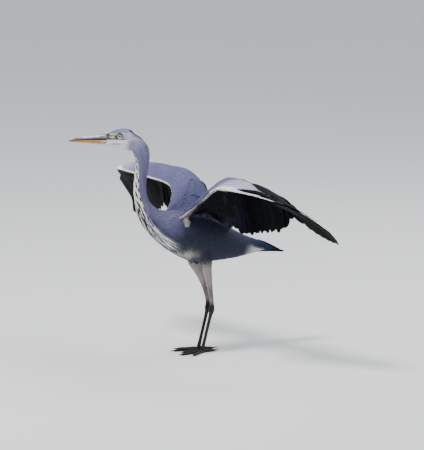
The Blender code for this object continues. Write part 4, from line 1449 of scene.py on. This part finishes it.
def build_plumes():
    """Long narrow plumes that fan from the foot of the neck over the breast."""
    low, high = NECK_FOOT_RUN - 0.055, NECK_FOOT_RUN + 0.045

    def front(middle, owner, run, angle):
        return (owner <= TAIL) & (run > low) & (run < high) & (np.abs(angle) < 0.98)

    roots, owners, picker = scatter(skin_part(front), evenly(PLUME_SPACE), 15)
    run, angle, _ = axis_places(roots)
    lengths = sizes().plume * (0.40 + 0.60 * smooth_step(run, low, high))

    def streaks(old, dice):
        """White, black and grey plumes side by side; greys at the sides."""
        draw = dice.random(len(old))
        tones = colours()
        edge = smooth_step(np.abs(angle), 0.70, 0.98)
        shade = np.where((draw < 0.44)[:, None], tones["white"] * 0.95, tones["black"])
        grey = draw > 0.88 - 0.42 * edge
        shade = np.where(grey[:, None], tones["neck"] * 0.80, shade)
        return np.broadcast_to(shade[:, None, :], old.shape)

    widths = np.full(len(roots), PLUME_WIDTH)
    mesh = coat_from_roots("breast_plumes", roots, owners, picker, lengths, widths, "plume", 0.0046,
                           camber=0.35, repaint=streaks, stray=0.05, soft=0.5)
    add_piece("breast_plumes", mesh, vane_material("plume_vane"))


def build_thighs():
    """Short feathers that end a little above the heel."""
    heel = node_box("tibia_left")[0][2]
    top = node_box("tibia_left")[1][2]
    bare = heel + BARE_SHIN * 0.40

    def feathered(middle, owner, run, angle):
        return (owner >= THIGH) & (middle[:, 2] > bare)

    roots, owners, picker = scatter(skin_part(feathered), evenly(THIGH_SPACE), 16)
    share = (roots[:, 2] - bare) / (top - bare)
    lengths = sizes().thigh_feather * (0.55 + 0.75 * smooth_step(share, 0.0, 0.6))
    mesh = coat_from_roots("thigh_feathers", roots, owners, picker, lengths, lengths * 0.30, "short",
                           0.0028, camber=0.2, stray=0.14)
    add_piece("thigh_feathers", mesh, vane_material("contour_vane"))


# ---- wings
def wing_paths(wing, starts, ends, steps, face, bed, lift, bend=1.0, gather=1.0):
    """Paths over one face of a wing, between places given as distance out and chord share."""
    share = gathered(steps, gather)[None, :]
    bent = share ** np.asarray(bend).reshape(-1, 1)
    side = starts[0][:, None] + (ends[0] - starts[0])[:, None] * share
    chord = starts[1][:, None] + (ends[1] - starts[1])[:, None] * bent
    if face == 0:
        middle = wing.point(side, chord)
        normal = wing.normal(side, chord)
    else:
        middle, normal = wing.on_face(side, chord, face)
    height = bed + lift * share ** 1.2
    return middle + normal * np.broadcast_to(height, side.shape)[..., None], normal


def gathered(steps, gather):
    """Shares from 0 to 1 that lie closer together towards 1."""
    return 1.0 - (1.0 - np.linspace(0.0, 1.0, steps)) ** gather


# Rows of coverts: distance behind the leading edge, a feather's length and its width.
COVERT_ROWS = ((0.0004, 0.008, 0.0050), (0.0040, 0.010, 0.0055), (0.0085, 0.013, 0.0065),
               (0.0140, 0.016, 0.0075), (0.0210, 0.020, 0.0090), (0.0300, 0.025, 0.0110),
               (0.0410, 0.031, 0.0130), (0.0540, 0.040, 0.0145), (0.0680, 0.046, 0.0155),
               (0.0840, 0.050, 0.0160), (0.1020, 0.050, 0.0160), (0.1200, 0.052, 0.0190),
               (0.1380, 0.052, 0.0190), (0.1560, 0.050, 0.0190))
WHOLE_ROWS = 9  # the rows after these stay near the body
FULL_CHORD = 0.17  # coverts shrink where the wing is narrower than this


def covert_rows(wing):
    """Roots of overlapping covert rows: side, chord share, length, width and row number."""
    picker = np.random.default_rng(21)
    found = []
    for number, (back, size, width) in enumerate(COVERT_ROWS):
        step = width * 0.40
        side = np.arange(wing.root - 0.002, wing.hand + 0.028 - 0.22 * back, step)
        side = side + picker.normal(0.0, step * 0.18, len(side))
        narrow = np.clip(wing.chord(side) / FULL_CHORD, 0.35, 1.0)
        first = back * narrow + picker.uniform(0.0, 0.0012, len(side))
        last = first + size * narrow * picker.uniform(0.9, 1.1, len(side))
        start = wing.share_at(side, first)
        end = wing.share_at(side, last)
        broad = width * (0.65 + 0.35 * narrow)
        columns = (side, start, end, last - first, broad, np.full(len(side), number))
        kept = start < 0.80
        if number >= WHOLE_ROWS:
            kept = (start < 0.88) & (side < wing.first + 0.065 - 0.85 * (back - 0.102))
        found.append(np.stack(columns, axis=1)[kept])
    return np.concatenate(found), picker


def build_coverts(label, face):
    """Rows of coverts on one face of a wing, from the edge back over the flight feathers."""
    wing = WINGS[label]
    if face > 0:
        name, lift, unevenness = "coverts_" + label, 0.0010, 0.035
        fringe, material = (COVERT_FRINGE, 0.13), vane_material("mantle_vane")
    else:
        name, lift, unevenness = "under_coverts_" + label, 0.0016, 0.14
        fringe, material = (UNDER_FRINGE, 0.25), vane_material("under_vane")
    rows, picker = covert_rows(wing)
    side, start, end, size, width, number = rows.T
    outline = TIP_SHAPES["round"]
    hand = smooth_step(side, wing.split - 0.08, wing.hand)
    last = np.clip(end - (end - start) * 0.25 * hand, 0.0, 0.97)
    ends = (side + (0.10 + 0.8 * hand) * size, last)
    bed = 0.0002 + 0.0001 * np.maximum(11 - number, 0)[:, None]
    paths, normals = wing_paths(wing, (side, start), ends, len(outline), face, bed, lift)
    outward = paths + normals * 0.002
    shade = wing_tone(wing, outward.reshape(-1, 3), colours()).reshape(paths.shape)
    uneven = 1.0 + 0.08 * mottle(paths[:, 3], 0.02, 7) + picker.normal(0.0, unevenness, len(side))
    shade = np.clip(shade * uneven[:, None, None], 0.0, 1.0)
    # Painted shade: coverts darken where they reach the trailing edge, the shade they lie in from below.
    chord = start[:, None] + (last - start)[:, None] * np.linspace(0.0, 1.0, len(outline))[None, :]
    shade = mix(shade, colours()["mantle"] * 0.25, smooth_step(chord, 0.82, 0.94))
    mesh = vanes(name, paths, normals, width * 1.25, outline, shade, wing_patches(wing, paths[:, 0]),
                 camber=0.10, columns=5, soft=0.75, fringe=fringe)
    add_piece(name, mesh, material)


TIP_GATHER = 1.8  # how strongly a flight feather's rows gather at its tip
SECONDARIES = 20
PRIMARIES = 10
ALULA_FEATHERS = 4
PRIMARY_COVERTS = 9
TAIL_ROWS = 9
TAIL_FEATHER_WIDTH = 0.0165


def flight_outline(rows, point):
    """Width along a flight feather: quill, full vane, then a tip that is blunt (0) or pointed (1)."""
    share = gathered(rows, TIP_GATHER)
    quill = 0.25 + 0.75 * smooth_step(share, 0.02, 0.20)
    begin = 0.90 - 0.38 * point
    past = np.clip((share - begin) / (1.0 - begin), 0.0, 1.0)
    tip = np.sqrt(np.clip(1.0 - past ** (2.4 - 0.9 * point), 0.0, 1.0))
    return np.maximum(quill * tip, 0.05)


def flight_feathers(name, wing, starts, ends, widths, base, point, layer, bend, rows, replaces):
    """Solid vanes between places on a wing's middle surface, each with its own tone."""
    count = len(widths)
    paths, normals = wing_paths(wing, starts, ends, rows, 0, layer[:, None], 0.0, bend, TIP_GATHER)
    picker = np.random.default_rng(31)
    shade = base * picker.uniform(0.8, 1.25, count)[:, None]
    shade = shade[:, None, :] * (1.0 + 0.4 * np.linspace(1.0, 0.0, rows)[None, :, None])
    mesh = vanes(name, paths, normals, widths, flight_outline(rows, point), shade, cell_patches(count),
                 camber=0.05, columns=7, lean=-0.25 * wing.mirror, ridge=0.0004,
                 fringe=(base[-1] * 2.5, 0.25))
    thicken(add_piece(name, mesh, vane_material("flight_vane"), replaces))


def thicken(piece):
    """Gives flight feathers their solid vanes."""
    wall = piece.modifiers.new("vane", "SOLIDIFY")
    wall.thickness = sizes().vane_thickness
    wall.offset = 0.0


def build_flight(label):
    """Twenty secondaries hang from the arm and ten primaries fan from the hand."""
    wing = WINGS[label]
    tones = colours()
    count = np.arange(SECONDARIES)
    step = (wing.split - wing.first) / SECONDARIES
    tips = wing.first + step * (count + 0.5)
    starts = (tips + 0.004, np.full(SECONDARIES, 0.30))
    ends = (tips, 1.0 - 0.014 * np.cos(count * 2.4))
    base = mix(tones["flight"], tones["mantle"] * 0.11, 1.0 - smooth_step(count, 0.5, 4.0))
    flight_feathers("secondary_vanes_" + label, wing, starts, ends, np.full(SECONDARIES, step * 2.5),
                    base, 0.15, 0.0004 * (count % 3 - 1.0), 1.0, 16, ["secondaries_" + label])
    count = np.arange(PRIMARIES)
    share = count / (PRIMARIES - 1.0)
    tips = wing.split + (wing.tip - wing.split) / PRIMARIES * (count + 0.55)
    tips[-1] = wing.tip - 0.006
    first = wing.split - WRIST_FROM_SPLIT
    starts = (first + (wing.hand - first) * share ** 0.8, 0.34 - 0.30 * share)
    ends = (tips, np.array([1.0] * (PRIMARIES - 3) + [0.95, 0.80, 0.60]))
    bend = 1.0 - 0.30 * share + 0.65 * np.maximum(count - 7.0, 0.0)
    base = np.tile(tones["flight"], (PRIMARIES, 1))
    flight_feathers("primary_vanes_" + label, wing, starts, ends, 0.040 - 0.009 * share,
                    base, 0.45, 0.0005 * (4.5 - count), bend, 18, ["primaries_" + label])


def build_alula(label):
    """Blue-black feathers of the bend and the row that covers the primaries' bases."""
    wing = WINGS[label]
    few = np.arange(ALULA_FEATHERS)
    sides = wing.split - 0.012 + 0.008 * few
    tips = sides + 0.078 - 0.006 * few
    starts = (sides, wing.share_at(sides, 0.0135 + 0.0030 * few))
    ends = (tips, wing.share_at(tips, 0.0190 + 0.0040 * few))
    bed = 0.0032 + 0.0006 * few[:, None]
    alula = wing_paths(wing, starts, ends, 10, 1, bed, 0.0, 1.0, TIP_GATHER)
    many = np.arange(PRIMARY_COVERTS)
    sides = wing.split - 0.030 + 0.0105 * many
    starts = (sides, 0.26 - 0.12 * many / PRIMARY_COVERTS)
    ends = (sides + 0.058 + 0.004 * many, starts[1] + 0.34)
    bed = 0.0022 + 0.0003 * (PRIMARY_COVERTS - many)[:, None]
    covering = wing_paths(wing, starts, ends, 10, 1, bed, 0.0, 1.0, TIP_GATHER)
    paths = np.concatenate((alula[0], covering[0]))
    normals = np.concatenate((alula[1], covering[1]))
    counts = (ALULA_FEATHERS, PRIMARY_COVERTS)
    widths = np.repeat((0.013, 0.017), counts)
    shade = colours()["flight"] * np.repeat((1.4, 2.2), counts)[:, None]
    mesh = vanes("alula_" + label, paths, normals, widths, flight_outline(10, 0.6), shade,
                 cell_patches(sum(counts)), camber=0.10, columns=5, ridge=0.0003)
    add_piece("alula_" + label, mesh, vane_material("flight_vane"))


def build_tail():
    """Twelve tail feathers in a closed fan, seven over and five under the flat end of the body, the lower
    five painted darker as shade.
    """
    low, high = node_box("tail")
    tail = Surface(*node_mesh("tail")[:2])
    tone = colours()["tail"]
    paths, normals, shade = [], [], []
    # Painted shade: the feathers under the tail get the tail tone darkened to 0.55.
    for face, count, painted_shade_factor in ((1.0, 7, 1.0), (-1.0, 5, 0.55)):
        spread = np.linspace(-1.0, 1.0, count)
        start = np.stack((spread * 0.012, np.full(count, low[1] + 0.012)), axis=1)
        end = np.stack((spread * (high[0] - low[0]) * 0.40, high[1] + 0.009 - 0.008 * spread ** 2.0), axis=1)
        share = gathered(TAIL_ROWS, TIP_GATHER)[None, :, None]
        flat = start[:, None, :] * (1.0 - share) + end[:, None, :] * share
        flat[..., 0] += (low[0] + high[0]) / 2.0
        inside = np.concatenate((flat[..., :1], np.minimum(flat[..., 1:], high[1] - 0.0008)), axis=2)
        outer = np.concatenate((inside, np.full(flat.shape[:2] + (1,), (low[2] + high[2]) / 2.0)), axis=2)
        starts = outer.reshape(-1, 3) + UP * face * 0.08
        found = tail.hit(starts, np.tile(-UP * face, (len(starts), 1)), 0.16, outer.reshape(-1, 3))
        sheet = found.reshape(outer.shape)
        sheet[..., 1] = flat[..., 1]
        sheet[..., 2] += face * (0.0002 + 0.0004 * (1.0 - np.abs(spread)))[:, None]
        sheet[..., 2] -= face * 0.0022 * share[..., 0] ** 2.0
        paths.append(sheet)
        normals.append(np.tile(UP * face, (count, TAIL_ROWS, 1)))
        shade.append(np.tile(tone * painted_shade_factor, (count, TAIL_ROWS, 1)))
    paths, normals, shade = (np.concatenate(held) for held in (paths, normals, shade))
    shade = shade * (1.0 - 0.55 * np.linspace(0.0, 1.0, TAIL_ROWS)[None, :, None] ** 3.0)
    widths = np.full(len(paths), TAIL_FEATHER_WIDTH)
    mesh = vanes("tail_feathers", paths, normals, widths, flight_outline(TAIL_ROWS, 0.15), shade,
                 cell_patches(len(paths)), camber=0.06, columns=7, ridge=0.0003, fringe=(tone * 1.6, 0.3))
    thicken(add_piece("tail_feathers", mesh, vane_material("flight_vane")))


# ---- bill, eyes and lids
def bill_share(corners):
    """How far out along a bill half each corner lies, from 0 at its base to 1 at its tip."""
    forward, _, _ = head_places(corners)
    return (forward - forward.min()) / (forward.max() - forward.min())


def build_upper_bill():
    """Slate upper bill with a ridge, a nostril slit in a long groove and a dark cutting edge."""
    mesh = bmesh_to_mesh("upper_bill_horn", horn_shape(["upper_bill"], 4, 2))
    corners = read_corners(mesh)
    _, aside, up = head_places(corners)
    share = bill_share(corners)
    on_side = np.abs(aside) > 0.002
    groove = bump_at(up, -0.0022, 0.0016) * (1.0 - smooth_step(share, 0.45, 0.62)) * on_side
    slit = bump_at(up, -0.0026, 0.0007) * smooth_step(share, 0.05, 0.09)
    slit = slit * (1.0 - smooth_step(share, 0.20, 0.26)) * on_side
    outward = np.sign(aside)[:, None] * HEAD_SIDE
    corners = corners - outward * (0.0006 * groove + 0.0013 * slit)[:, None]
    write_corners(mesh, corners)
    paint_tones(mesh, upper_bill_tone(corners, share, aside, up, slit))
    add_piece("upper_bill_horn", mesh, bill_material(), ["upper_bill"])


def upper_bill_tone(corners, share, aside, up, slit):
    """Slate with a streaky painted highlight on its side, dark at base, ridge and cutting edge, brown at the
    tip.
    """
    tones = colours()
    streaks = 0.85 + 0.5 * mottle(corners * np.array((1.0, 1.0, 3.0)), 0.012, 6)
    # Painted highlight: a streaky bluish-white band along the side stands in for the bill's sheen.
    painted_highlight = bump_at(up, 0.0010 - 0.0065 * share, 0.0036) * band_at(share, 0.14, 0.66, 0.14)
    ridge = smooth_step(np.abs(aside), 0.0035, 0.0) * smooth_step(up, -0.002, 0.003)
    lore = bump_at(up, -0.004, 0.003) * (1.0 - smooth_step(share, 0.0, 0.12))
    edge = 1.0 - smooth_step(up, -0.0120 - 0.004 * share, -0.0098 - 0.004 * share)
    tone = mix(tones["bill_top"] * 0.45, BILL_PAINTED_HIGHLIGHT, painted_highlight * np.clip(streaks, 0.0, 1.0))
    tone = mix(tone, tones["bill_top"] * 0.22, ridge)
    tone = mix(tone, UPPER_TIP_TONE, 0.6 * smooth_step(share, 0.62, 0.95))
    tone = mix(tone, tones["lore"] * 0.8, 0.6 * lore)
    tone = mix(tone, tones["bill_top"] * 0.25, 0.75 * (1.0 - smooth_step(share, 0.0, 0.07)))
    tone = mix(tone, tones["black"] * 2.0, 0.85 * edge)
    tone = mix(tone, tones["black"], 0.95 * slit)
    return tone * (1.0 + 0.10 * mottle(corners, 0.006, 8))[:, None]


def bill_material():
    """Glossy horn of bill and claws."""
    return material_named("bill_horn", skin_material, 420.0, 0.00015, roughness=0.34, coat=0.25,
                          spots=0.18, specular=0.5)


def build_lower_bill():
    """Orange-yellow lower bill, pinkish at the base and brown at the tip."""
    mesh = bmesh_to_mesh("lower_bill_horn", horn_shape(["lower_bill"], 3, 3))
    corners = read_corners(mesh)
    _, _, up = head_places(corners)
    share = bill_share(corners)
    biting = smooth_step(read_normals(mesh)[:, 2], 0.5, 0.9)
    write_corners(mesh, corners + np.outer(0.0011 * biting, UP))
    tones = colours()
    tone = mix(PINK_HORN, tones["bill_low"], smooth_step(share, 0.04, 0.26))
    tone = mix(tone, LOWER_TIP_TONE, 0.75 * smooth_step(share, 0.66, 0.96))
    tone = mix(tone, tones["bill_top"] * 1.2, 0.65 * bump_at(up, -0.0130 + 0.001 * share, 0.0013))
    paint_tones(mesh, tone * (1.0 + 0.10 * mottle(corners, 0.008, 9))[:, None])
    add_piece("lower_bill_horn", mesh, bill_material(), ["lower_bill"])


def build_eyes():
    """Eyeballs with a slight bulge over the pupil, and a bare lid ring round each."""
    for label, centre, side in (("left", EYE_LEFT, 1.0), ("right", EYE_RIGHT, -1.0)):
        look = gaze(side)
        shape = bmesh.new()
        bmesh.ops.create_uvsphere(shape, u_segments=48, v_segments=36, radius=EYE_BALL)
        turn = Vector(UP).rotation_difference(Vector(look)).to_matrix().to_4x4()
        seat = Matrix.Translation(centre) @ turn
        bmesh.ops.transform(shape, verts=shape.verts, matrix=seat)
        mesh = bmesh_to_mesh("eye_wet_" + label, shape)
        corners = read_corners(mesh)
        away = corners - centre
        ring = np.arccos(np.clip(unit(away) @ look, -1.0, 1.0))
        bulge = 0.0005 * bump_at(ring, 0.0, 0.45)
        write_corners(mesh, corners + unit(away) * (bulge - 0.0001)[:, None])
        layer = mesh.attributes.new("ring", "FLOAT", "POINT")
        layer.data.foreach_set("value", ring.astype(np.float32))
        material = material_named("eye_wet", eye_material)
        add_piece("eye_wet_" + label, mesh, material, ["eye_" + label])
        build_lid(label, centre, look, seat)


def build_lid(label, centre, look, seat):
    """A soft ring of bare skin, heavier above, that holds the eyeball."""
    shape = bmesh.new()
    bmesh.ops.create_circle(shape, segments=12, radius=0.00085)
    bmesh.ops.rotate(shape, verts=shape.verts, matrix=Matrix.Rotation(math.pi / 2.0, 3, "X"))
    rise = math.sqrt(EYE_BALL ** 2.0 - EYE_OPENING ** 2.0)
    bmesh.ops.translate(shape, verts=shape.verts, vec=Vector((EYE_OPENING, 0.0, rise + 0.0002)))
    bmesh.ops.spin(shape, geom=shape.verts[:] + shape.edges[:], cent=(0.0, 0.0, 0.0), axis=(0.0, 0.0, 1.0),
                   angle=2.0 * math.pi, steps=56, use_merge=True, use_duplicate=False)
    bmesh.ops.remove_doubles(shape, verts=shape.verts, dist=0.00001)
    bmesh.ops.transform(shape, verts=shape.verts, matrix=seat)
    mesh = bmesh_to_mesh("lid_" + label, shape)
    corners = read_corners(mesh)
    away = corners - centre
    above = away[:, 2] / EYE_OPENING
    squeeze = 0.10 * np.sign(above) * np.abs(above) ** 2.0 * EYE_OPENING
    corners[:, 2] -= squeeze * (above > 0.0) + squeeze * 0.5 * (above <= 0.0)
    corners += np.outer(0.0006 * smooth_step(above, 0.2, 1.0), look)
    fore = away @ HEAD_FORWARD
    corners += np.outer(0.0010 * smooth_step(fore, 0.0045, 0.0070), HEAD_FORWARD)
    write_corners(mesh, corners)
    tones = colours()
    tone = mix(LID_TONE, tones["lore"] * 0.5, smooth_step(fore, 0.003, 0.006) * (above < 0.0))
    tone = mix(tone, tones["white"] * 0.9, 0.6 * smooth_step(-above, 0.55, 0.95))
    paint_tones(mesh, tone)
    add_piece("lid_" + label, mesh, bare_material())


def bare_material():
    """Bare skin of the lids."""
    return material_named("bare_skin", skin_material, 700.0, 0.0002, roughness=0.55, coat=0.05)


# ---- legs and feet
BARE_SHIN = 0.040  # how far above the heel the lower leg's skin runs
SCUTE = 0.0052  # length of one scute on the shank
TOE_SCUTE = 0.0036


def toe_lines(label):
    """The middle of each toe on the floor, from the foot's hub to the claw: start and end points."""
    claws = [node_centre("claw_%s_%s" % (label, toe)) for toe in TOES]
    hub = np.array(node_foot(label))
    return [(hub, np.array((claw[0], claw[1], 0.0))) for claw in claws]


def node_foot(label):
    """Where the lower leg meets the floor, from its lowest corners."""
    corners, _, _ = node_mesh("tarsus_" + label)
    low = corners[corners[:, 2] < corners[:, 2].min() + 0.002]
    middle = low.mean(axis=0)
    return (middle[0], middle[1], 0.0)


def toe_places(label, corners):
    """How far each corner lies along the toe nearest to it."""
    run = np.zeros(len(corners))
    best = np.ones(len(corners))
    for hub, end in toe_lines(label):
        along = unit(end - hub)
        place = np.clip((corners - hub) @ along, 0.0, np.linalg.norm(end - hub))
        gap = np.linalg.norm((corners - hub - place[:, None] * along)[:, :2], axis=1)
        run = np.where(gap < best, place, run)
        best = np.minimum(gap, best)
    return run


def scute_rise(beat):
    """A scute's height along its length, which drops steeply at its end."""
    return (1.0 - beat) ** 0.5 - 0.35


def build_legs(label):
    """Lower leg and foot in one skin, with broad scutes down the front and small scales behind."""
    shin = "tibia_" + label
    heel = node_box(shin)[0][2]
    cuts = {shin: ((0.0, 0.0, heel + BARE_SHIN), UP)}
    mesh = joined_flesh(("tarsus_" + label, "foot_" + label, shin), 0.0005, 0.0009, "shank_" + label, cuts)
    smoothed(mesh, 2)
    corners = read_corners(mesh)
    normals = read_normals(mesh)
    height = corners[:, 2]
    shank = smooth_step(height, 0.012, 0.020) * (1.0 - smooth_step(height, heel - 0.010, heel + 0.004))
    front = smooth_step(-normals[:, 1], -0.15, 0.35)
    on_top = smooth_step(normals[:, 2], 0.05, 0.5) * (1.0 - shank)
    beat = (height / SCUTE) % 1.0
    toe_beat = (toe_places(label, corners) / TOE_SCUTE) % 1.0
    grain = np.sin(height / 0.00045) * np.sin(corners[:, 0] / 0.0004)
    relief = shank * front * scute_rise(beat) * 0.00055
    relief += shank * (1.0 - front) * 0.00012 * grain
    relief += bump_at(height, heel - 0.004, 0.012) * (0.0012 + 0.0003 * np.sin(height / 0.0006))
    relief += on_top * scute_rise(toe_beat) * 0.00050
    corners = corners + normals * relief[:, None]
    corners[:, 2] = np.maximum(corners[:, 2], 0.0)
    write_corners(mesh, corners)
    tones = colours()
    height = corners[:, 2]
    outward = smooth_step(normals[:, 0] * SIDES[label], 0.2, 0.9)
    seam = np.maximum(shank * front * (beat > 0.86), on_top * (toe_beat > 0.84))
    tone = mix(tones["leg"], tones["bare"] * 0.30, 0.30 * outward)
    tone = mix(tone, tones["bare"], smooth_step(height, heel + 0.002, heel + 0.022))
    tone = mix(tone, tones["bare"] * 0.9, 0.4 * (1.0 - smooth_step(height, 0.0005, 0.003)))
    tone = mix(tone, tones["black"], 0.6 * seam)
    tone = tone * (1.0 + 0.22 * mottle(corners, 0.012, 4))[:, None]
    paint_tones(mesh, tone)
    mesh.shade_smooth()
    material = material_named("leg_scales", skin_material, 1100.0, 0.00025, roughness=0.48, coat=0.03,
                              specular=0.20)
    add_piece("shank_" + label, mesh, material, ["tarsus_" + label, "foot_" + label])


def build_claws():
    """Dark horn claws of both feet."""
    names = ["claw_%s_%s" % (label, toe) for label in SIDES for toe in TOES]
    mesh = bmesh_to_mesh("claws", horn_shape(names, 2, 3, 0.4))
    corners = read_corners(mesh)
    tones = colours()
    paint_tones(mesh, mix(tones["claw"], tones["bare"] * 0.6, 0.3 * (mottle(corners, 0.004, 2) > 0.4)))
    add_piece("claws", mesh, bill_material(), names)


# ---- stage
PICTURE_HEIGHT = HEIGHT * 1.955  # what the camera takes in, from bottom to top
CAMERA_ANGLES = (math.radians(58.0), math.radians(8.0))
CAMERA_DISTANCE = HEIGHT * 15.5
AIM_RIGHT, AIM_UP = 0.1177, 0.0644  # the camera aims this many heights off the bird's middle
LIGHT_DISTANCE = HEIGHT * 1.8
SENSOR = 0.036


def build_stage():
    """Pale floor, soft studio light and the camera, low and from far off on the bird's left."""
    shape = bmesh.new()
    bmesh.ops.create_grid(shape, x_segments=2, y_segments=2, size=HEIGHT * 25.0)
    floor_mesh = bmesh_to_mesh("studio_floor", shape)
    floor = bpy.data.objects.new("studio_floor", floor_mesh)
    floor_mesh.materials.append(floor_material())
    bpy.context.scene.collection.objects.link(floor)
    floor_mesh.transform(Matrix.Translation((0.0, 0.0, MODEL_BOX[0][2] - 0.0002)))

    turn, rise = CAMERA_ANGLES
    back = Vector((math.sin(turn) * math.cos(rise), -math.cos(turn) * math.cos(rise), math.sin(rise)))
    right = Vector((math.cos(turn), math.sin(turn), 0.0))
    up = back.cross(right)
    centre = (MODEL_BOX[0] + MODEL_BOX[1]) / 2.0
    target = centre + right * HEIGHT * AIM_RIGHT + up * HEIGHT * AIM_UP
    camera_data = bpy.data.cameras.new("studio_camera")
    camera = bpy.data.objects.new("studio_camera", camera_data)
    bpy.context.scene.collection.objects.link(camera)
    camera_data.sensor_width = SENSOR * 1000.0
    camera_data.lens = SENSOR * 1000.0 * CAMERA_DISTANCE / PICTURE_HEIGHT
    camera_data.clip_start = 0.1
    camera_data.clip_end = HEIGHT * 100.0
    camera.location = target + back * CAMERA_DISTANCE
    camera.rotation_mode = "QUATERNION"
    camera.rotation_quaternion = (-back).to_track_quat("-Z", "Y")
    bpy.context.scene.camera = camera

    key = back * 1.2 - right * 1.6 + Vector((0.0, 0.0, 3.6))
    rim = right * 2.2 - back * 1.6 + Vector((0.0, 0.0, 2.6))
    place_light("key", centre + key * LIGHT_DISTANCE, centre, 1.6, 330.0)
    place_light("rim", centre + rim * LIGHT_DISTANCE, centre, 2.0, 90.0)
    world = bpy.data.worlds.new("studio_air")
    world.use_nodes = True
    world.node_tree.nodes["Background"].inputs["Color"].default_value = (0.90, 0.94, 1.0, 1.0)
    world.node_tree.nodes["Background"].inputs["Strength"].default_value = 0.80
    bpy.context.scene.world = world


def place_light(name, place, target, size, power):
    """A round lamp that faces a target."""
    data = bpy.data.lights.new(name + "_light", "AREA")
    data.shape = "DISK"
    data.size = size
    data.energy = power
    light = bpy.data.objects.new(name + "_light", data)
    bpy.context.scene.collection.objects.link(light)
    light.location = place
    light.rotation_mode = "QUATERNION"
    light.rotation_quaternion = (target - place).to_track_quat("-Z", "Y")


# ---- operators and panel
class HERON_OT_stage(bpy.types.Operator):
    """Lay the floor, hang the lights and set the camera"""
    bl_idname = "heron.stage"
    bl_label = "Stage"

    def execute(self, context):
        build_stage()
        return {"FINISHED"}


class HERON_OT_skin(bpy.types.Operator):
    """Join the flesh into one skin that lies under the coat"""
    bl_idname = "heron.skin"
    bl_label = "Skin"

    def execute(self, context):
        build_skin()
        return {"FINISHED"}


class HERON_OT_head(bpy.types.Operator):
    """Model the bill, the eyes and their lids, and the face's short feathers"""
    bl_idname = "heron.head"
    bl_label = "Head"

    def execute(self, context):
        build_upper_bill()
        build_lower_bill()
        build_eyes()
        build_face()
        return {"FINISHED"}


class HERON_OT_body_coat(bpy.types.Operator):
    """Lay the feathers of neck, breast, back, belly and thighs"""
    bl_idname = "heron.body_coat"
    bl_label = "Body coat"

    def execute(self, context):
        build_neck()
        build_body()
        build_mantle()
        build_plumes()
        build_thighs()
        return {"FINISHED"}


class HERON_OT_wings(bpy.types.Operator):
    """Lay the flight feathers, the alula and the coverts of both wings"""
    bl_idname = "heron.wings"
    bl_label = "Wings"

    def execute(self, context):
        for label in SIDES:
            build_flight(label)
            build_alula(label)
            build_coverts(label, 1)
            build_coverts(label, -1)
        return {"FINISHED"}


class HERON_OT_tail(bpy.types.Operator):
    """Lay the tail feathers"""
    bl_idname = "heron.tail"
    bl_label = "Tail"

    def execute(self, context):
        build_tail()
        return {"FINISHED"}


class HERON_OT_legs(bpy.types.Operator):
    """Model the scaled lower legs, the feet and the claws"""
    bl_idname = "heron.legs"
    bl_label = "Legs"

    def execute(self, context):
        for label in SIDES:
            build_legs(label)
        build_claws()
        return {"FINISHED"}


OPERATORS = (HERON_OT_stage, HERON_OT_skin, HERON_OT_head, HERON_OT_body_coat, HERON_OT_wings,
             HERON_OT_tail, HERON_OT_legs)


class HERON_PT_panel(bpy.types.Panel):
    """Sizes and colours of the heron, and a button for each group of pieces"""
    bl_label = "Heron"
    bl_idname = "HERON_PT_panel"
    bl_space_type = "VIEW_3D"
    bl_region_type = "UI"
    bl_category = "Heron"

    def draw(self, context):
        for settings in (context.scene.heron_sizes, context.scene.heron_colours):
            box = self.layout.box()
            for name in settings.__annotations__:
                box.prop(settings, name)
        for operator in OPERATORS:
            self.layout.operator(operator.bl_idname)


CLASSES = (HeronColours, HeronSizes) + OPERATORS + (HERON_PT_panel,)


def register():
    for kind in CLASSES:
        bpy.utils.register_class(kind)
    bpy.types.Scene.heron_colours = bpy.props.PointerProperty(type=HeronColours)
    bpy.types.Scene.heron_sizes = bpy.props.PointerProperty(type=HeronSizes)


def unregister():
    del bpy.types.Scene.heron_sizes
    del bpy.types.Scene.heron_colours
    for kind in reversed(CLASSES):
        bpy.utils.unregister_class(kind)


def main():
    register()
    bpy.ops.heron.stage()
    bpy.ops.heron.skin()
    bpy.ops.heron.head()
    bpy.ops.heron.body_coat()
    bpy.ops.heron.wings()
    bpy.ops.heron.tail()
    bpy.ops.heron.legs()


if __name__ == "__main__":
    main()
